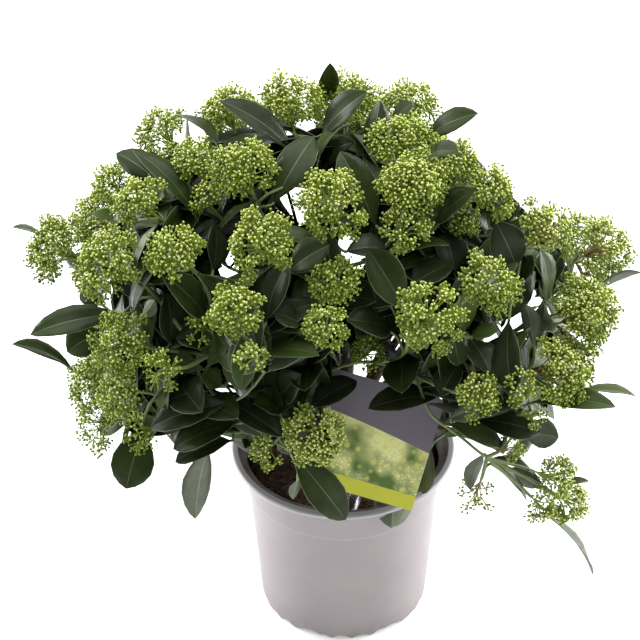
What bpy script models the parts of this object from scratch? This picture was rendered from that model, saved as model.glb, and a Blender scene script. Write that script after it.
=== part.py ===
# Potted skimmia: pot, root ball, plant label, stem, boughs and the masses of its crown
#
# Metres, +Z up. The origin is the middle of the pot's flat underside, and -Y is the front.
# A bearing is an angle seen from above: 0 points to the front and 90 to the right (+X).

import math
import bpy
import bmesh
from mathutils import Euler, Vector, noise

MM = 0.001
CLEARANCE = 0.3 * MM          # gap kept between pieces that touch on the real plant

# Pot, radii and heights in millimetres
POT_HEIGHT = 142.0
POT_FOOT_RADIUS = 65.0
POT_RIDGE_HEIGHT = 109.0      # a fine step runs round the wall here
POT_WALL_RADIUS = 73.0        # just under the step
POT_STEP = 1.0
POT_STEP_SLOPE = 0.5          # half the height over which the wall steps out
POT_TOP_RADIUS = 75.5         # just under the lip
POT_WALL = 1.5
LIP_RADIUS = 85.3
LIP_DEPTH = 4.5
LIP_INNER_RADIUS = 78.5
LIP_ROUNDING = 1.0
FLOOR_THICKNESS = 2.0
FLOOR_PAD_RADIUS = 46.0       # the middle of the floor stands flat on the ground
FLOOR_RISE = 3.0              # the floor is raised between the middle and the foot
FOOT_WIDTH = 4.5
POT_SIDES = 32

NOTCH_COUNT = 6               # arched drain notches round the foot
NOTCH_FIRST_BEARING = -23.0
NOTCH_WIDTH = 19.0
NOTCH_HEIGHT = 4.5
NOTCH_SIDES = 12
NOTCH_CUTTER_LENGTH = 18.0    # long enough to cross the foot

# Root ball
SOIL_TOP = 128.0
SOIL_BOTTOM = 6.0
SOIL_CLEARANCE = 0.6          # to the faceted pot wall
SOIL_SIDES = 24
SOIL_EDGE_WIDTH = 3.0         # its top edge slopes down to the wall
SOIL_EDGE_DROP = 2.0

# Plant label: a card on a flat stake
CARD_WIDTH = 87.0
CARD_HEIGHT = 86.0
CARD_THICKNESS = 0.6
CARD_FOOT = (10.0, -73.0, 153.0)   # middle of its lower edge
CARD_ROLL = 16.0              # clockwise, seen from the front
CARD_LEAN = 25.0              # its top leans away from the front
STAKE_WIDTH = 12.0
STAKE_BOTTOM = 100.0
STAKE_BEND = 46.0             # degrees between the card and the upright stake
SLOT_MARGIN = 0.5             # round the stake, in the root ball

# Stem
STEM_TOP = 186.0
STEM_FLARE_RADIUS = 14.0      # at the flat cut on the root ball
STEM_FLARE_HEIGHT = 12.0
STEM_RADIUS = 8.5             # above the flare
STEM_TIP_RADIUS = 6.0
STEM_LEAN = (1.5, -1.0)       # how far its top stands off the pot's axis
STEM_SIDES = 12
FLARE_RINGS = 3
SHAFT_RINGS = 3
SHARP_ANGLE = 40.0            # edges sharper than this aren't shaded smooth

# Boughs: radius at the stem and at the mass, for each level of branching
LEVELS = {
    "low": {"height": 141.0, "radius": 3.8, "climb": 50.0},
    "middle": {"height": 153.0, "radius": 3.6, "climb": 58.0},
    "upper": {"height": 165.0, "radius": 3.5, "climb": 66.0},
    "high": {"height": 176.0, "radius": 3.2, "climb": 74.0},
    "leader": {"height": STEM_TOP, "radius": 4.2, "climb": 90.0},
}
BOUGH_TIP_RADIUS = 2.2
LEADER_GAP = 0.6              # between the stem's flat top and the bough that goes on from it
BOUGH_SWEEP = 0.40            # share of its length over which each end runs straight
BOUGH_POINTS = 8
BOUGH_SIDES = 6
BOUGH_OF_MASS = {
    "left_skirt": "low", "right_droop": "low", "back_low_3": "low",
    "far_left_low": "middle", "far_right": "middle", "back_mid_2": "middle", "back_mid_4": "middle",
    "far_left": "upper", "left_low_inner": "upper",
    "front_left": "high", "right_high": "high",
    "centre_top": "leader",
}

# Masses of the crown. Each row gives the middle of the mass's flower heads, as bearing in degrees
# and reach and height in millimetres, and the mass's half width.
CROWN_HUB = (0.0, 0.0, 200.0)      # the shoots fan out from here
OTHER_HUBS = {"right_droop": (45.0, 0.0, 200.0)}     # a shoot that comes round the label's edge
HEAD_RISE = 12.0              # flower heads stand this far above a mass's middle
MASS_TOP = 0.67               # from its middle to its outer side, over the half width
MASS_DEPTH = 0.73             # from its middle to its inner side, where a bough enters
MASS_SIDES = 12
MASS_RINGS = 8
LEAVES_ROUND = 5              # lobes round a mass, for the leaves below its flowers
LOBE = 0.13
UNEVEN = 0.34
UNEVEN_SCALE = 2.1
UNEVEN_SPREAD = 31.0          # takes each mass to a roughness of its own
LOBE_TURN = 100.0             # turns the lobes of each mass, radians for each metre across
SEAT_RINGS = 1.5              # the flat inner end takes the rings this near the pole

SEEN_MASSES = {
    "top_back_left": (-142, 63, 408, 47),
    "top_back": (161, 77, 398, 50),
    "top_right": (78, 61, 405, 50),
    "left_back": (-122, 128, 384, 46),
    "upper_left": (-74, 84, 402, 50),
    "left_high": (-85, 149, 374, 45),
    "far_left": (-93, 207, 312, 44),
    "left": (-64, 172, 351, 46),
    "left_inner": (-49, 142, 372, 42),
    "centre_left": (-28, 111, 386, 44),
    "centre_top": (-4, 74, 401, 50),
    "centre_right": (34, 81, 395, 45),
    "right_high": (71, 99, 373, 45),
    "far_right_high": (85, 162, 339, 50),
    "right": (44, 142, 359, 46),
    "front_right": (24, 144, 353, 46),
    "front": (-2, 122, 353, 46),
    "front_left": (-23, 155, 344, 46),
    "left_low": (-58, 172, 301, 42),
    "left_low_inner": (-46, 150, 307, 42),
    "left_low_front": (-55, 176, 246, 42),
    "far_left_low": (-70, 187, 227, 46),
    "left_skirt": (-40, 150, 225, 42),
    "far_right": (70, 179, 305, 46),
    "right_low": (58, 169, 261, 44),
    "right_low_front": (43, 158, 281, 42),
    "front_low": (-14, 113, 239, 38),
    "inner_front": (16, 68, 271, 34),
    "right_droop": (59, 177, 180, 44),
    "droop_inner": (45, 143, 178, 37),
}
# The back, which goes on as the front does: rings of (reach, height, half width, bearings)
BACK_RINGS = {
    "back_high": (138, 356, 50, (110, 142, 174, 206)),
    "back_mid": (183, 287, 54, (104, 136, 168, 200, 232)),
    "back_low": (160, 218, 52, (95, 135, 175, 215, 255)),
}
# Furthest leaf tips: bearing, reach and height of each. The nearest mass reaches out to it.
LEAF_TIPS = {
    "top": (-168, 51, 439),
    "top_right": (102, 94, 417),
    "upper_left": (-108, 160, 370),
    "far_left_thin": (-90, 234, 335),
    "left_broad": (-75, 227, 283),
    "far_left_low": (-80, 238, 263),
    "skirt_hanging": (-40, 157, 169),
    "skirt_outer": (-51, 192, 195),
    "over_rim": (3, 120, 169),
    "droop": (67, 203, 87),
    "right_low": (69, 219, 255),
    "far_right": (79, 210, 328),
}
IN_FRONT_OF_CARD = ("front_low", "inner_front")
CARD_MARGIN = 1.0

MATERIALS = {
    "pot_plastic": ((0.62, 0.59, 0.64), 0.45),
    "peat": ((0.05, 0.028, 0.016), 0.95),
    "label_card": ((0.35, 0.42, 0.12), 0.35),
    "bark": ((0.20, 0.17, 0.10), 0.85),
    "green_wood": ((0.20, 0.26, 0.09), 0.70),
    "foliage": ((0.06, 0.12, 0.05), 0.60),
}


# Scene and materials

def clear_scene():
    for thing in list(bpy.data.objects):
        bpy.data.objects.remove(thing, do_unlink=True)


def make_collection(name):
    collection = bpy.data.collections.new(name)
    bpy.context.scene.collection.children.link(collection)
    return collection


def make_material(name):
    colour, roughness = MATERIALS[name]
    material = bpy.data.materials.new(name)
    material.use_nodes = True
    shader = material.node_tree.nodes["Principled BSDF"]
    shader.inputs["Base Color"].default_value = (*colour, 1.0)
    shader.inputs["Roughness"].default_value = roughness
    shader.inputs["Metallic"].default_value = 0.0
    return material


def add_object(name, data, collection, material=None):
    thing = bpy.data.objects.new(name, data)
    collection.objects.link(thing)
    if material:
        data.materials.append(material)
    return thing


def mesh_from(shape, name):
    mesh = bpy.data.meshes.new(name)
    shape.to_mesh(mesh)
    shape.free()
    return mesh


def at_bearing(bearing, reach, height):
    angle = math.radians(bearing)
    return Vector((reach * math.sin(angle), -reach * math.cos(angle), height)) * MM


# Turned pieces

def turned(name, profile, sides, collection, material):
    shape = bmesh.new()
    points = [shape.verts.new((radius * MM, 0.0, height * MM)) for radius, height in profile]
    for first, second in zip(points, points[1:]):
        shape.edges.new((first, second))
    piece = add_object(name, mesh_from(shape, name), collection, material)
    screw = piece.modifiers.new("turn", "SCREW")
    screw.steps = sides
    screw.render_steps = sides
    screw.use_merge_vertices = True
    screw.merge_threshold = 0.00001
    screw.use_smooth_shade = True
    return piece


def cut(piece, cutter):
    cutter.hide_render = True
    cutter.display_type = "WIRE"
    boolean = piece.modifiers.new("cut_" + cutter.name, "BOOLEAN")
    boolean.operation = "DIFFERENCE"
    boolean.object = cutter


# Pot

def pot_profile():
    foot_inner = POT_FOOT_RADIUS - FOOT_WIDTH
    return [
        (0.0, FLOOR_THICKNESS),
        (FLOOR_PAD_RADIUS - FLOOR_THICKNESS, FLOOR_THICKNESS),
        (FLOOR_PAD_RADIUS + FLOOR_THICKNESS, FLOOR_RISE + FLOOR_THICKNESS),
        (POT_FOOT_RADIUS - POT_WALL, FLOOR_RISE + FLOOR_THICKNESS),
        (POT_WALL_RADIUS - POT_WALL, POT_RIDGE_HEIGHT),
        (POT_TOP_RADIUS - POT_WALL, POT_HEIGHT - LIP_DEPTH),
        (LIP_INNER_RADIUS, POT_HEIGHT),
        (LIP_RADIUS - LIP_ROUNDING, POT_HEIGHT),
        (LIP_RADIUS, POT_HEIGHT - LIP_ROUNDING),
        (LIP_RADIUS, POT_HEIGHT - LIP_DEPTH),
        (LIP_RADIUS - POT_WALL, POT_HEIGHT - LIP_DEPTH),
        (POT_TOP_RADIUS, POT_HEIGHT - LIP_DEPTH - POT_STEP_SLOPE),
        (POT_WALL_RADIUS + POT_STEP, POT_RIDGE_HEIGHT + POT_STEP_SLOPE),
        (POT_WALL_RADIUS, POT_RIDGE_HEIGHT - POT_STEP_SLOPE),
        (POT_FOOT_RADIUS, 0.0),
        (foot_inner, 0.0),
        (foot_inner, FLOOR_RISE),
        (FLOOR_PAD_RADIUS + FLOOR_RISE, FLOOR_RISE),
        (FLOOR_PAD_RADIUS, 0.0),
        (0.0, 0.0),
    ]


def notch_ring(collection):
    # One cutter of NOTCH_COUNT lying half-round bars that cross the foot
    shape = bmesh.new()
    for index in range(NOTCH_COUNT):
        bar = bmesh.ops.create_cone(
            shape, cap_ends=True, segments=NOTCH_SIDES, depth=NOTCH_CUTTER_LENGTH * MM,
            radius1=NOTCH_WIDTH / 2.0 * MM, radius2=NOTCH_WIDTH / 2.0 * MM)["verts"]
        for vertex in bar:
            vertex.co.y *= NOTCH_HEIGHT / (NOTCH_WIDTH / 2.0)
        bearing = NOTCH_FIRST_BEARING + index * 360.0 / NOTCH_COUNT
        outward = at_bearing(bearing, 1.0, 0.0)
        turn = outward.to_track_quat("Z", "Y")
        middle = at_bearing(bearing, POT_FOOT_RADIUS, 0.0)
        for vertex in bar:
            vertex.co = turn @ vertex.co + middle
    return add_object("notch_cutter", mesh_from(shape, "notch_cutter"), collection)


def make_pot(parts, cutters, material):
    pot = turned("pot", pot_profile(), POT_SIDES, parts, material)
    cut(pot, notch_ring(cutters))


# Root ball

def pot_inner_radius(height):
    bottom = FLOOR_RISE + FLOOR_THICKNESS
    share = (height - bottom) / (POT_RIDGE_HEIGHT - bottom)
    lower = POT_FOOT_RADIUS - POT_WALL
    return lower + share * (POT_WALL_RADIUS - POT_WALL - lower)


def make_soil(parts, cutters, material):
    shrink = math.cos(math.pi / POT_SIDES)
    top_radius = POT_WALL_RADIUS * shrink - POT_WALL - SOIL_CLEARANCE
    bottom_radius = pot_inner_radius(SOIL_BOTTOM) * shrink - SOIL_CLEARANCE
    profile = [
        (0.0, SOIL_TOP),
        (top_radius - SOIL_EDGE_WIDTH, SOIL_TOP),
        (top_radius, SOIL_TOP - SOIL_EDGE_DROP),
        (top_radius, POT_RIDGE_HEIGHT),
        (bottom_radius, SOIL_BOTTOM),
        (0.0, SOIL_BOTTOM),
    ]
    soil = turned("soil", profile, SOIL_SIDES, parts, material)
    slot = label_shape("slot_cutter", cutters, None, CARD_THICKNESS + 2.0 * SLOT_MARGIN,
                       STAKE_WIDTH + 2.0 * SLOT_MARGIN, STAKE_BOTTOM - SLOT_MARGIN)
    cut(soil, slot)


# Plant label

def card_turn():
    lean = Euler((math.radians(-CARD_LEAN), 0.0, 0.0)).to_matrix()
    roll = Euler((0.0, math.radians(CARD_ROLL), 0.0)).to_matrix()
    return lean @ roll


def label_shape(name, collection, material, thickness, stake_width, bottom):
    # A card of three strips; the stake goes on down from the middle one, bent at the card's edge
    turn = card_turn()
    foot = Vector(CARD_FOOT) * MM
    half = CARD_WIDTH / 2.0
    columns = (-half, -stake_width / 2.0, stake_width / 2.0, half)
    stake_turn = Euler((math.radians(STAKE_BEND), 0.0, 0.0)).to_matrix()
    stake_down = turn @ stake_turn @ Vector((0.0, 0.0, -1.0))
    stake_length = (CARD_FOOT[2] - bottom) * MM / -stake_down.z
    shape = bmesh.new()
    lower = [shape.verts.new(foot + turn @ Vector((x, 0.0, 0.0)) * MM) for x in columns]
    upper = [shape.verts.new(foot + turn @ Vector((x, 0.0, CARD_HEIGHT)) * MM) for x in columns]
    tips = [shape.verts.new(corner.co + stake_down * stake_length) for corner in lower[1:3]]
    for index in range(3):
        shape.faces.new((lower[index], lower[index + 1], upper[index + 1], upper[index]))
    shape.faces.new((tips[0], tips[1], lower[2], lower[1]))
    label = add_object(name, mesh_from(shape, name), collection, material)
    solidify = label.modifiers.new("thickness", "SOLIDIFY")
    solidify.thickness = thickness * MM
    solidify.offset = 0.0
    solidify.use_even_offset = True
    return label


# Stem

def stem_radius(height):
    share = (height - SOIL_TOP) / (STEM_TOP - SOIL_TOP)
    shaft = STEM_RADIUS + share * (STEM_TIP_RADIUS - STEM_RADIUS)
    flare = max(0.0, 1.0 - (height - SOIL_TOP) / STEM_FLARE_HEIGHT)
    return shaft + (STEM_FLARE_RADIUS - STEM_RADIUS) * flare ** 2


def stem_centre(height):
    share = (height - SOIL_TOP) / (STEM_TOP - SOIL_TOP)
    return Vector((STEM_LEAN[0] * share, STEM_LEAN[1] * share, height)) * MM


def make_stem(parts, material):
    foot = SOIL_TOP + CLEARANCE / MM
    shaft = foot + STEM_FLARE_HEIGHT
    heights = [foot + STEM_FLARE_HEIGHT * step / FLARE_RINGS for step in range(FLARE_RINGS)]
    heights += [shaft + (STEM_TOP - shaft) * step / SHAFT_RINGS for step in range(SHAFT_RINGS + 1)]
    shape = bmesh.new()
    rings = []
    for height in heights:
        centre = stem_centre(height)
        radius = stem_radius(height) * MM
        ring = bmesh.ops.create_circle(shape, segments=STEM_SIDES, radius=radius)["verts"]
        for vertex in ring:
            vertex.co += centre
        rings.append(ring)
    for below, above in zip(rings, rings[1:]):
        for index in range(STEM_SIDES):
            following = (index + 1) % STEM_SIDES
            shape.faces.new((below[index], below[following], above[following], above[index]))
    shape.faces.new(rings[-1])
    shape.faces.new(list(reversed(rings[0])))
    bmesh.ops.recalc_face_normals(shape, faces=shape.faces)
    mesh = mesh_from(shape, "stem")
    mesh.shade_smooth()
    mesh.set_sharp_from_angle(angle=math.radians(SHARP_ANGLE))
    add_object("stem", mesh, parts, material)


# Masses of the crown

def mass_table():
    table = dict(SEEN_MASSES)
    for ring, (reach, height, half_width, bearings) in BACK_RINGS.items():
        for index, bearing in enumerate(bearings, start=1):
            table[f"{ring}_{index}"] = (bearing, reach, height, half_width)
    masses = {}
    for name, (bearing, reach, height, half_width) in table.items():
        heads = at_bearing(bearing, reach, height)
        axis = (heads - Vector(OTHER_HUBS.get(name, CROWN_HUB)) * MM).normalized()
        middle = heads - axis * HEAD_RISE * MM
        masses[name] = {"middle": middle, "axis": axis, "half_width": half_width * MM}
    return masses


def free_reach(direction, mass, others):
    # How far a mass may go in one direction before it meets a neighbour's half of the space
    reach = math.inf
    for other in others:
        apart = other["middle"] - mass["middle"]
        towards = direction.dot(apart)
        if towards <= 0.0:
            continue
        weight = mass["half_width"] ** 2 - other["half_width"] ** 2
        plane = (apart.length_squared + weight) / (2.0 * towards)
        margin = CLEARANCE / 2.0 * apart.length / towards
        reach = min(reach, plane - margin)
    return reach


def nearest_mass(place, masses):
    def distance(name):
        mass = masses[name]
        return (place - mass["middle"]).length_squared - mass["half_width"] ** 2
    return min(masses, key=distance)


def card_reach(direction, mass):
    # The same for a mass that must stay in front of the label's card
    front = card_turn() @ Vector((0.0, -1.0, 0.0))
    ahead = (mass["middle"] - Vector(CARD_FOOT) * MM).dot(front) - CARD_MARGIN * MM
    towards = -direction.dot(front)
    return ahead / towards if towards > 0.0 else math.inf


def mass_reach(local, direction, mass, phase):
    # An uneven egg on the shoot's axis, with a lobe for each leaf of the whorl under the flowers
    side = math.hypot(local.x, local.y)
    end = (MASS_TOP if local.z > 0.0 else MASS_DEPTH) * mass["half_width"]
    egg = 1.0 / math.hypot(side / mass["half_width"], local.z / end)
    lobe = 1.0 + LOBE * side * math.cos(LEAVES_ROUND * math.atan2(local.y, local.x) + phase)
    rough = 1.0 + UNEVEN * noise.noise(mass["middle"] * UNEVEN_SPREAD + direction * UNEVEN_SCALE)
    return egg * lobe * rough


def make_mass(name, masses, parts, material):
    mass = masses[name]
    others = [other for key, other in masses.items() if key != name]
    turn = mass["axis"].to_track_quat("Z", "Y")
    phase = len(name) + mass["middle"].x * LOBE_TURN
    tips = [at_bearing(*place) for place in LEAF_TIPS.values()]
    shape = bmesh.new()
    bmesh.ops.create_uvsphere(shape, u_segments=MASS_SIDES, v_segments=MASS_RINGS, radius=1.0)
    seat_slope = math.cos(SEAT_RINGS * math.pi / MASS_RINGS)
    for vertex in shape.verts:
        local = vertex.co.normalized()
        direction = turn @ local
        reach = mass_reach(local, direction, mass, phase)
        if local.z < -seat_slope:
            # the inner end is flat, so that a bough meets it squarely
            reach = MASS_DEPTH * mass["half_width"] / -local.z
        reach = min(reach, free_reach(direction, mass, others))
        if name in IN_FRONT_OF_CARD:
            reach = min(reach, card_reach(direction, mass))
        vertex.co = mass["middle"] + direction * reach
    for tip in tips:
        if nearest_mass(tip, masses) != name:
            continue
        aim = (tip - mass["middle"]).normalized()
        reach = min((tip - mass["middle"]).length, free_reach(aim, mass, others))
        nearest = max(shape.verts, key=lambda v: (v.co - mass["middle"]).normalized().dot(aim))
        nearest.co = mass["middle"] + aim * reach
    mesh = mesh_from(shape, name)
    mesh.shade_smooth()
    add_object("mass_" + name, mesh, parts, material)


# Boughs

def curve_through(start, start_direction, end, end_direction):
    # A cubic curve that leaves and arrives straight, read at even steps
    sweep = (end - start).length * BOUGH_SWEEP
    control_a = start + start_direction * sweep
    control_b = end - end_direction * sweep
    points = []
    for step in range(BOUGH_POINTS):
        t = step / (BOUGH_POINTS - 1)
        s = 1.0 - t
        points.append(s ** 3 * start + 3 * s * s * t * control_a + 3 * s * t * t * control_b + t ** 3 * end)
    return points


def make_bough(name, level, mass, parts, material):
    height = LEVELS[level]["height"]
    radius = LEVELS[level]["radius"] * MM
    end = mass["middle"] - mass["axis"] * (MASS_DEPTH * mass["half_width"] + CLEARANCE)
    centre = stem_centre(height)
    outward = Vector((end.x - centre.x, end.y - centre.y, 0.0)).normalized()
    climb = math.radians(LEVELS[level]["climb"])
    direction = outward * math.cos(climb) + Vector((0.0, 0.0, math.sin(climb)))
    if level == "leader":
        start = centre + direction * LEADER_GAP * MM
    else:
        flat = math.cos(math.pi / BOUGH_SIDES)
        stand_off = stem_radius(height) * MM + CLEARANCE + radius * math.sin(climb) * flat
        start = centre + outward * stand_off
    points = curve_through(start, direction, end, mass["axis"])
    curve = bpy.data.curves.new(name, "CURVE")
    curve.dimensions = "3D"
    curve.bevel_depth = 1.0
    curve.bevel_resolution = BOUGH_SIDES // 2 - 2
    curve.use_fill_caps = True
    spline = curve.splines.new("POLY")
    spline.points.add(len(points) - 1)
    for index, place in enumerate(points):
        share = index / (len(points) - 1)
        spline.points[index].co = (*place, 1.0)
        spline.points[index].radius = radius + share * (BOUGH_TIP_RADIUS * MM - radius)
    add_object("bough_" + name, curve, parts, material)


# The whole plant

def build():
    clear_scene()
    parts = make_collection("potted_skimmia")
    cutters = make_collection("cutters")
    finishes = {name: make_material(name) for name in MATERIALS}
    make_pot(parts, cutters, finishes["pot_plastic"])
    make_soil(parts, cutters, finishes["peat"])
    label_shape("label", parts, finishes["label_card"], CARD_THICKNESS, STAKE_WIDTH, STAKE_BOTTOM)
    make_stem(parts, finishes["bark"])
    masses = mass_table()
    for name in masses:
        make_mass(name, masses, parts, finishes["foliage"])
    for name, level in BOUGH_OF_MASS.items():
        make_bough(name, level, masses[name], parts, finishes["green_wood"])


build()
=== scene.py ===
import math
import random
from collections import namedtuple

import bmesh
import bpy
import numpy as np
from mathutils import Euler, Matrix, Vector, noise
from mathutils.bvhtree import BVHTree


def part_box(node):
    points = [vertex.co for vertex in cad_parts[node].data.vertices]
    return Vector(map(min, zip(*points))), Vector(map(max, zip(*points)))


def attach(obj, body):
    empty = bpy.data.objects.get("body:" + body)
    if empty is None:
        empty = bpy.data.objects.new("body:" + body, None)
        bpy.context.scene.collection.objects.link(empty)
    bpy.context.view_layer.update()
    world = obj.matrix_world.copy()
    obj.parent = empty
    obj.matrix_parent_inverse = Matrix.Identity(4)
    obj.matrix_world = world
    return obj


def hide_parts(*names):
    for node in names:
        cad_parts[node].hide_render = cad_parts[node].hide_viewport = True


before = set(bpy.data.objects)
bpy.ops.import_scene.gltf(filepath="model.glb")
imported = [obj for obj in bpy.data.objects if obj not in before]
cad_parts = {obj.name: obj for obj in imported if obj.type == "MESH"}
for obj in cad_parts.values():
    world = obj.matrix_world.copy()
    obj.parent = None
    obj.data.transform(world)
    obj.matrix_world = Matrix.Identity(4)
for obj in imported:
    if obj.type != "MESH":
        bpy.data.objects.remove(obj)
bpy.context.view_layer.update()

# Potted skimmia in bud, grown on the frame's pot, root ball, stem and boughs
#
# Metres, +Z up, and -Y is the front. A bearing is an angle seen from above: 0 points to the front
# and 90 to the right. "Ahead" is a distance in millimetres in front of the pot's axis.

MM = 0.001
GOLDEN_ANGLE = math.pi * (3.0 - math.sqrt(5.0))
UP = Vector((0.0, 0.0, 1.0))

# Camera, worked out from the pot's rim and foot and the plant's height
CAMERA_PLACE = Vector((0.031, -1.167, 1.071))
CAMERA_YAW = -2.33
CAMERA_PITCH = 34.88
CAMERA_ROLL = 0.71
FOCAL_PIXELS = 1948.0
IMAGE_SIZE = 640.0
SENSOR_WIDTH = 36.0

# Flower heads that the photograph shows: x and y of the middle in pixels, then in millimetres the
# distance ahead and the radius, then how full the head is
SEEN_HEADS = {
    "crest_left": (289, 106, -49, 24, 1.0),
    "crest": (347, 99, -73, 23, 1.0),
    "crest_right": (412, 106, -73, 22, 1.0),
    "crest_front": (404, 141, 5, 25, 1.0),
    "upper_left": (226, 111, -62, 22, 1.0),
    "shoulder_back": (163, 132, -73, 22, 1.0),
    "shoulder_front": (194, 163, 0, 20, 0.9),
    "upper_mid_left": (243, 172, 41, 24, 1.0),
    "shoulder_low": (206, 199, 28, 15, 0.8),
    "left_back": (112, 183, -10, 18, 1.0),
    "left_upper": (141, 202, 37, 21, 1.0),
    "far_left": (58, 248, -10, 26, 1.0),
    "left_large": (110, 268, 77, 28, 0.8),
    "left_mid": (175, 256, 93, 21, 1.0),
    "mid_left": (260, 243, 98, 24, 1.0),
    "middle": (331, 207, 76, 25, 1.0),
    "mid_right": (413, 188, 53, 27, 1.0),
    "mid_right_low": (404, 228, 72, 19, 0.9),
    "right_upper": (453, 166, 21, 20, 1.0),
    "right_shoulder": (489, 192, 35, 22, 1.0),
    "right_shoulder_low": (464, 226, 30, 15, 0.9),
    "right_outer": (547, 231, 39, 22, 0.9),
    "far_right_high": (603, 246, -13, 23, 0.85),
    "far_right_mid": (590, 272, 5, 13, 0.6),
    "right_front": (489, 284, 102, 22, 1.0),
    "front_right": (427, 317, 132, 24, 1.0),
    "front_inner": (335, 284, 100, 20, 0.9),
    "front_left": (237, 311, 133, 21, 1.0),
    "front_left_low": (252, 357, 153, 13, 0.8),
    "front": (325, 328, 145, 17, 1.0),
    "left_low_top": (124, 343, 90, 24, 1.0),
    "left_low_outer": (92, 384, 60, 22, 0.9),
    "left_low_hanging": (98, 424, 70, 21, 0.6),
    "left_low_inner": (121, 393, 100, 21, 0.9),
    "left_low_back": (163, 367, 120, 17, 0.7),
    "left_low_foot": (140, 432, 100, 16, 0.7),
    "left_inner": (199, 326, 90, 14, 0.7),
    "far_right": (585, 316, 60, 27, 0.9),
    "right_low": (560, 370, 90, 28, 1.0),
    "right_low_inner": (519, 386, 110, 15, 0.8),
    "right_low_front": (478, 395, 120, 18, 0.8),
    "right_skirt": (533, 417, 90, 12, 0.6),
    "low_front": (314, 436, 112, 23, 0.9),
    "low_front_left": (266, 450, 112, 14, 0.9),
    "droop_outer": (554, 478, 92, 20, 1.0),
    "droop_low": (568, 502, 90, 19, 1.0),
    "droop_left": (542, 507, 97, 15, 0.8),
    "droop_upper": (511, 446, 98, 14, 0.5),
    "droop_inner": (476, 494, 100, 16, 0.45),
    "inner_front": (368, 352, 60, 16, 0.8),
}
# Flower heads round the back, which goes on as the front does: rings of reach and height of the
# middle and radius in millimetres, and bearings
BACK_HEADS = {
    "back_top": (92, 398, 24, (128, 190)),
    "back_high": (140, 362, 25, (97, 122, 147, 172, 197, 222, 247)),
    "back_mid": (186, 301, 26, (88, 111, 134, 157, 180, 203, 226, 249)),
    "back_low": (178, 232, 25, (110, 137, 163, 190, 217, 243, 268)),
    "back_inner": (85, 345, 20, (150, 215)),
}

# Openings right through the crown: x, y and radius in pixels
SKY_GAPS = (
    (290, 197, 8), (301, 218, 4), (353, 243, 3), (358, 266, 1), (307, 125, 5), (229, 268, 3), (347, 363, 5),
    (450, 450, 9), (455, 474, 13), (465, 455, 6), (476, 437, 5), (503, 441, 4), (229, 394, 0), (373, 368, 5),
    (402, 338, 2), (515, 322, 7), (524, 306, 4), (530, 296, 2), (492, 345, 4), (500, 490, 7), (515, 508, 7),
    (540, 455, 6), (236, 238, 3), (560, 300, 4), (100, 236, 4),
)
GAP_MARGIN = 4.0              # pixels that a leaf keeps from an opening
# The label's card: x, y and radius in pixels
CARD_SPOTS = (
    (345, 376, 10), (372, 388, 12), (425, 402, 14), (345, 410, 14), (375, 425, 20), (405, 440, 22),
    (360, 465, 20), (395, 480, 22), (340, 440, 12), (424, 425, 12),
)
CARD_AHEAD = 50.0
CARD_MIDDLE = (375, 430)
# The crown's outline in pixels, clockwise from its left end
OUTLINE = (
    (24, 236), (14, 224), (60, 218), (90, 168), (114, 148), (138, 150), (138, 116), (165, 107), (196, 118),
    (198, 95), (222, 84), (256, 92), (262, 76), (290, 70), (316, 80), (330, 62), (340, 79), (354, 76),
    (376, 86), (400, 81), (426, 88), (440, 114), (478, 112), (472, 130), (456, 140), (474, 160), (512, 188),
    (520, 206), (550, 197), (576, 208), (606, 215), (632, 240), (630, 262), (642, 270), (618, 296),
    (628, 322), (626, 345), (608, 362), (606, 384), (636, 396), (612, 411), (562, 414), (556, 442),
    (540, 450), (588, 482), (590, 520), (596, 576), (548, 530), (505, 505), (466, 516), (455, 490),
    (447, 455), (424, 500), (392, 529), (348, 522), (300, 505), (262, 474), (228, 440), (212, 480),
    (200, 521), (182, 505), (188, 468), (160, 462), (146, 480), (126, 490), (104, 472), (106, 452), (82, 440),
    (64, 398), (62, 380), (10, 346), (12, 338), (28, 338), (34, 328), (84, 310), (78, 286), (44, 276),
)

# Shoots that the photograph shows from end to end: x, y and distance ahead along each
SEEN_SHOOTS = {
    "droop_outer": ((438, 421, 92), (462, 438, 96), (487, 457, 98), (522, 467, 95)),
    "droop_low": ((487, 457, 98), (518, 473, 95), (545, 488, 92)),
    "droop_left": ((487, 457, 98), (508, 475, 98), (527, 493, 98)),
    "droop_upper": ((487, 457, 98), (498, 452, 99)),
    "droop_inner": ((487, 457, 98), (483, 474, 100)),
}
SHOOT_FROM_BOUGH = "droop_outer"  # the others branch from this one


# Places and lines

def at_bearing(bearing, reach, height):
    angle = math.radians(bearing)
    return Vector((reach * math.sin(angle), -reach * math.cos(angle), height)) * MM


def camera_axes():
    yaw, pitch, roll = (math.radians(a) for a in (CAMERA_YAW, CAMERA_PITCH, CAMERA_ROLL))
    ahead = Vector((math.sin(yaw) * math.cos(pitch), math.cos(yaw) * math.cos(pitch), -math.sin(pitch)))
    level = Vector((math.cos(yaw), -math.sin(yaw), 0.0))
    below = ahead.cross(level)
    right = level * math.cos(roll) + below * math.sin(roll)
    down = below * math.cos(roll) - level * math.sin(roll)
    return right, down, ahead


RIGHT, DOWN, AHEAD = camera_axes()


def seen_at(x, y, ahead):
    # The point seen at a pixel that lies this far in front of the pot's axis
    half = IMAGE_SIZE / 2.0
    sight = AHEAD + RIGHT * ((x - half) / FOCAL_PIXELS) + DOWN * ((y - half) / FOCAL_PIXELS)
    return CAMERA_PLACE + sight * ((-ahead * MM - CAMERA_PLACE.y) / sight.y)


def pixels_of(places):
    # Pixels and distances of an array of points
    from_camera = places - np.array(CAMERA_PLACE)
    depth = from_camera @ np.array(AHEAD)
    half = IMAGE_SIZE / 2.0
    x = half + FOCAL_PIXELS * (from_camera @ np.array(RIGHT)) / depth
    y = half + FOCAL_PIXELS * (from_camera @ np.array(DOWN)) / depth
    return x, y, depth


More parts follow.
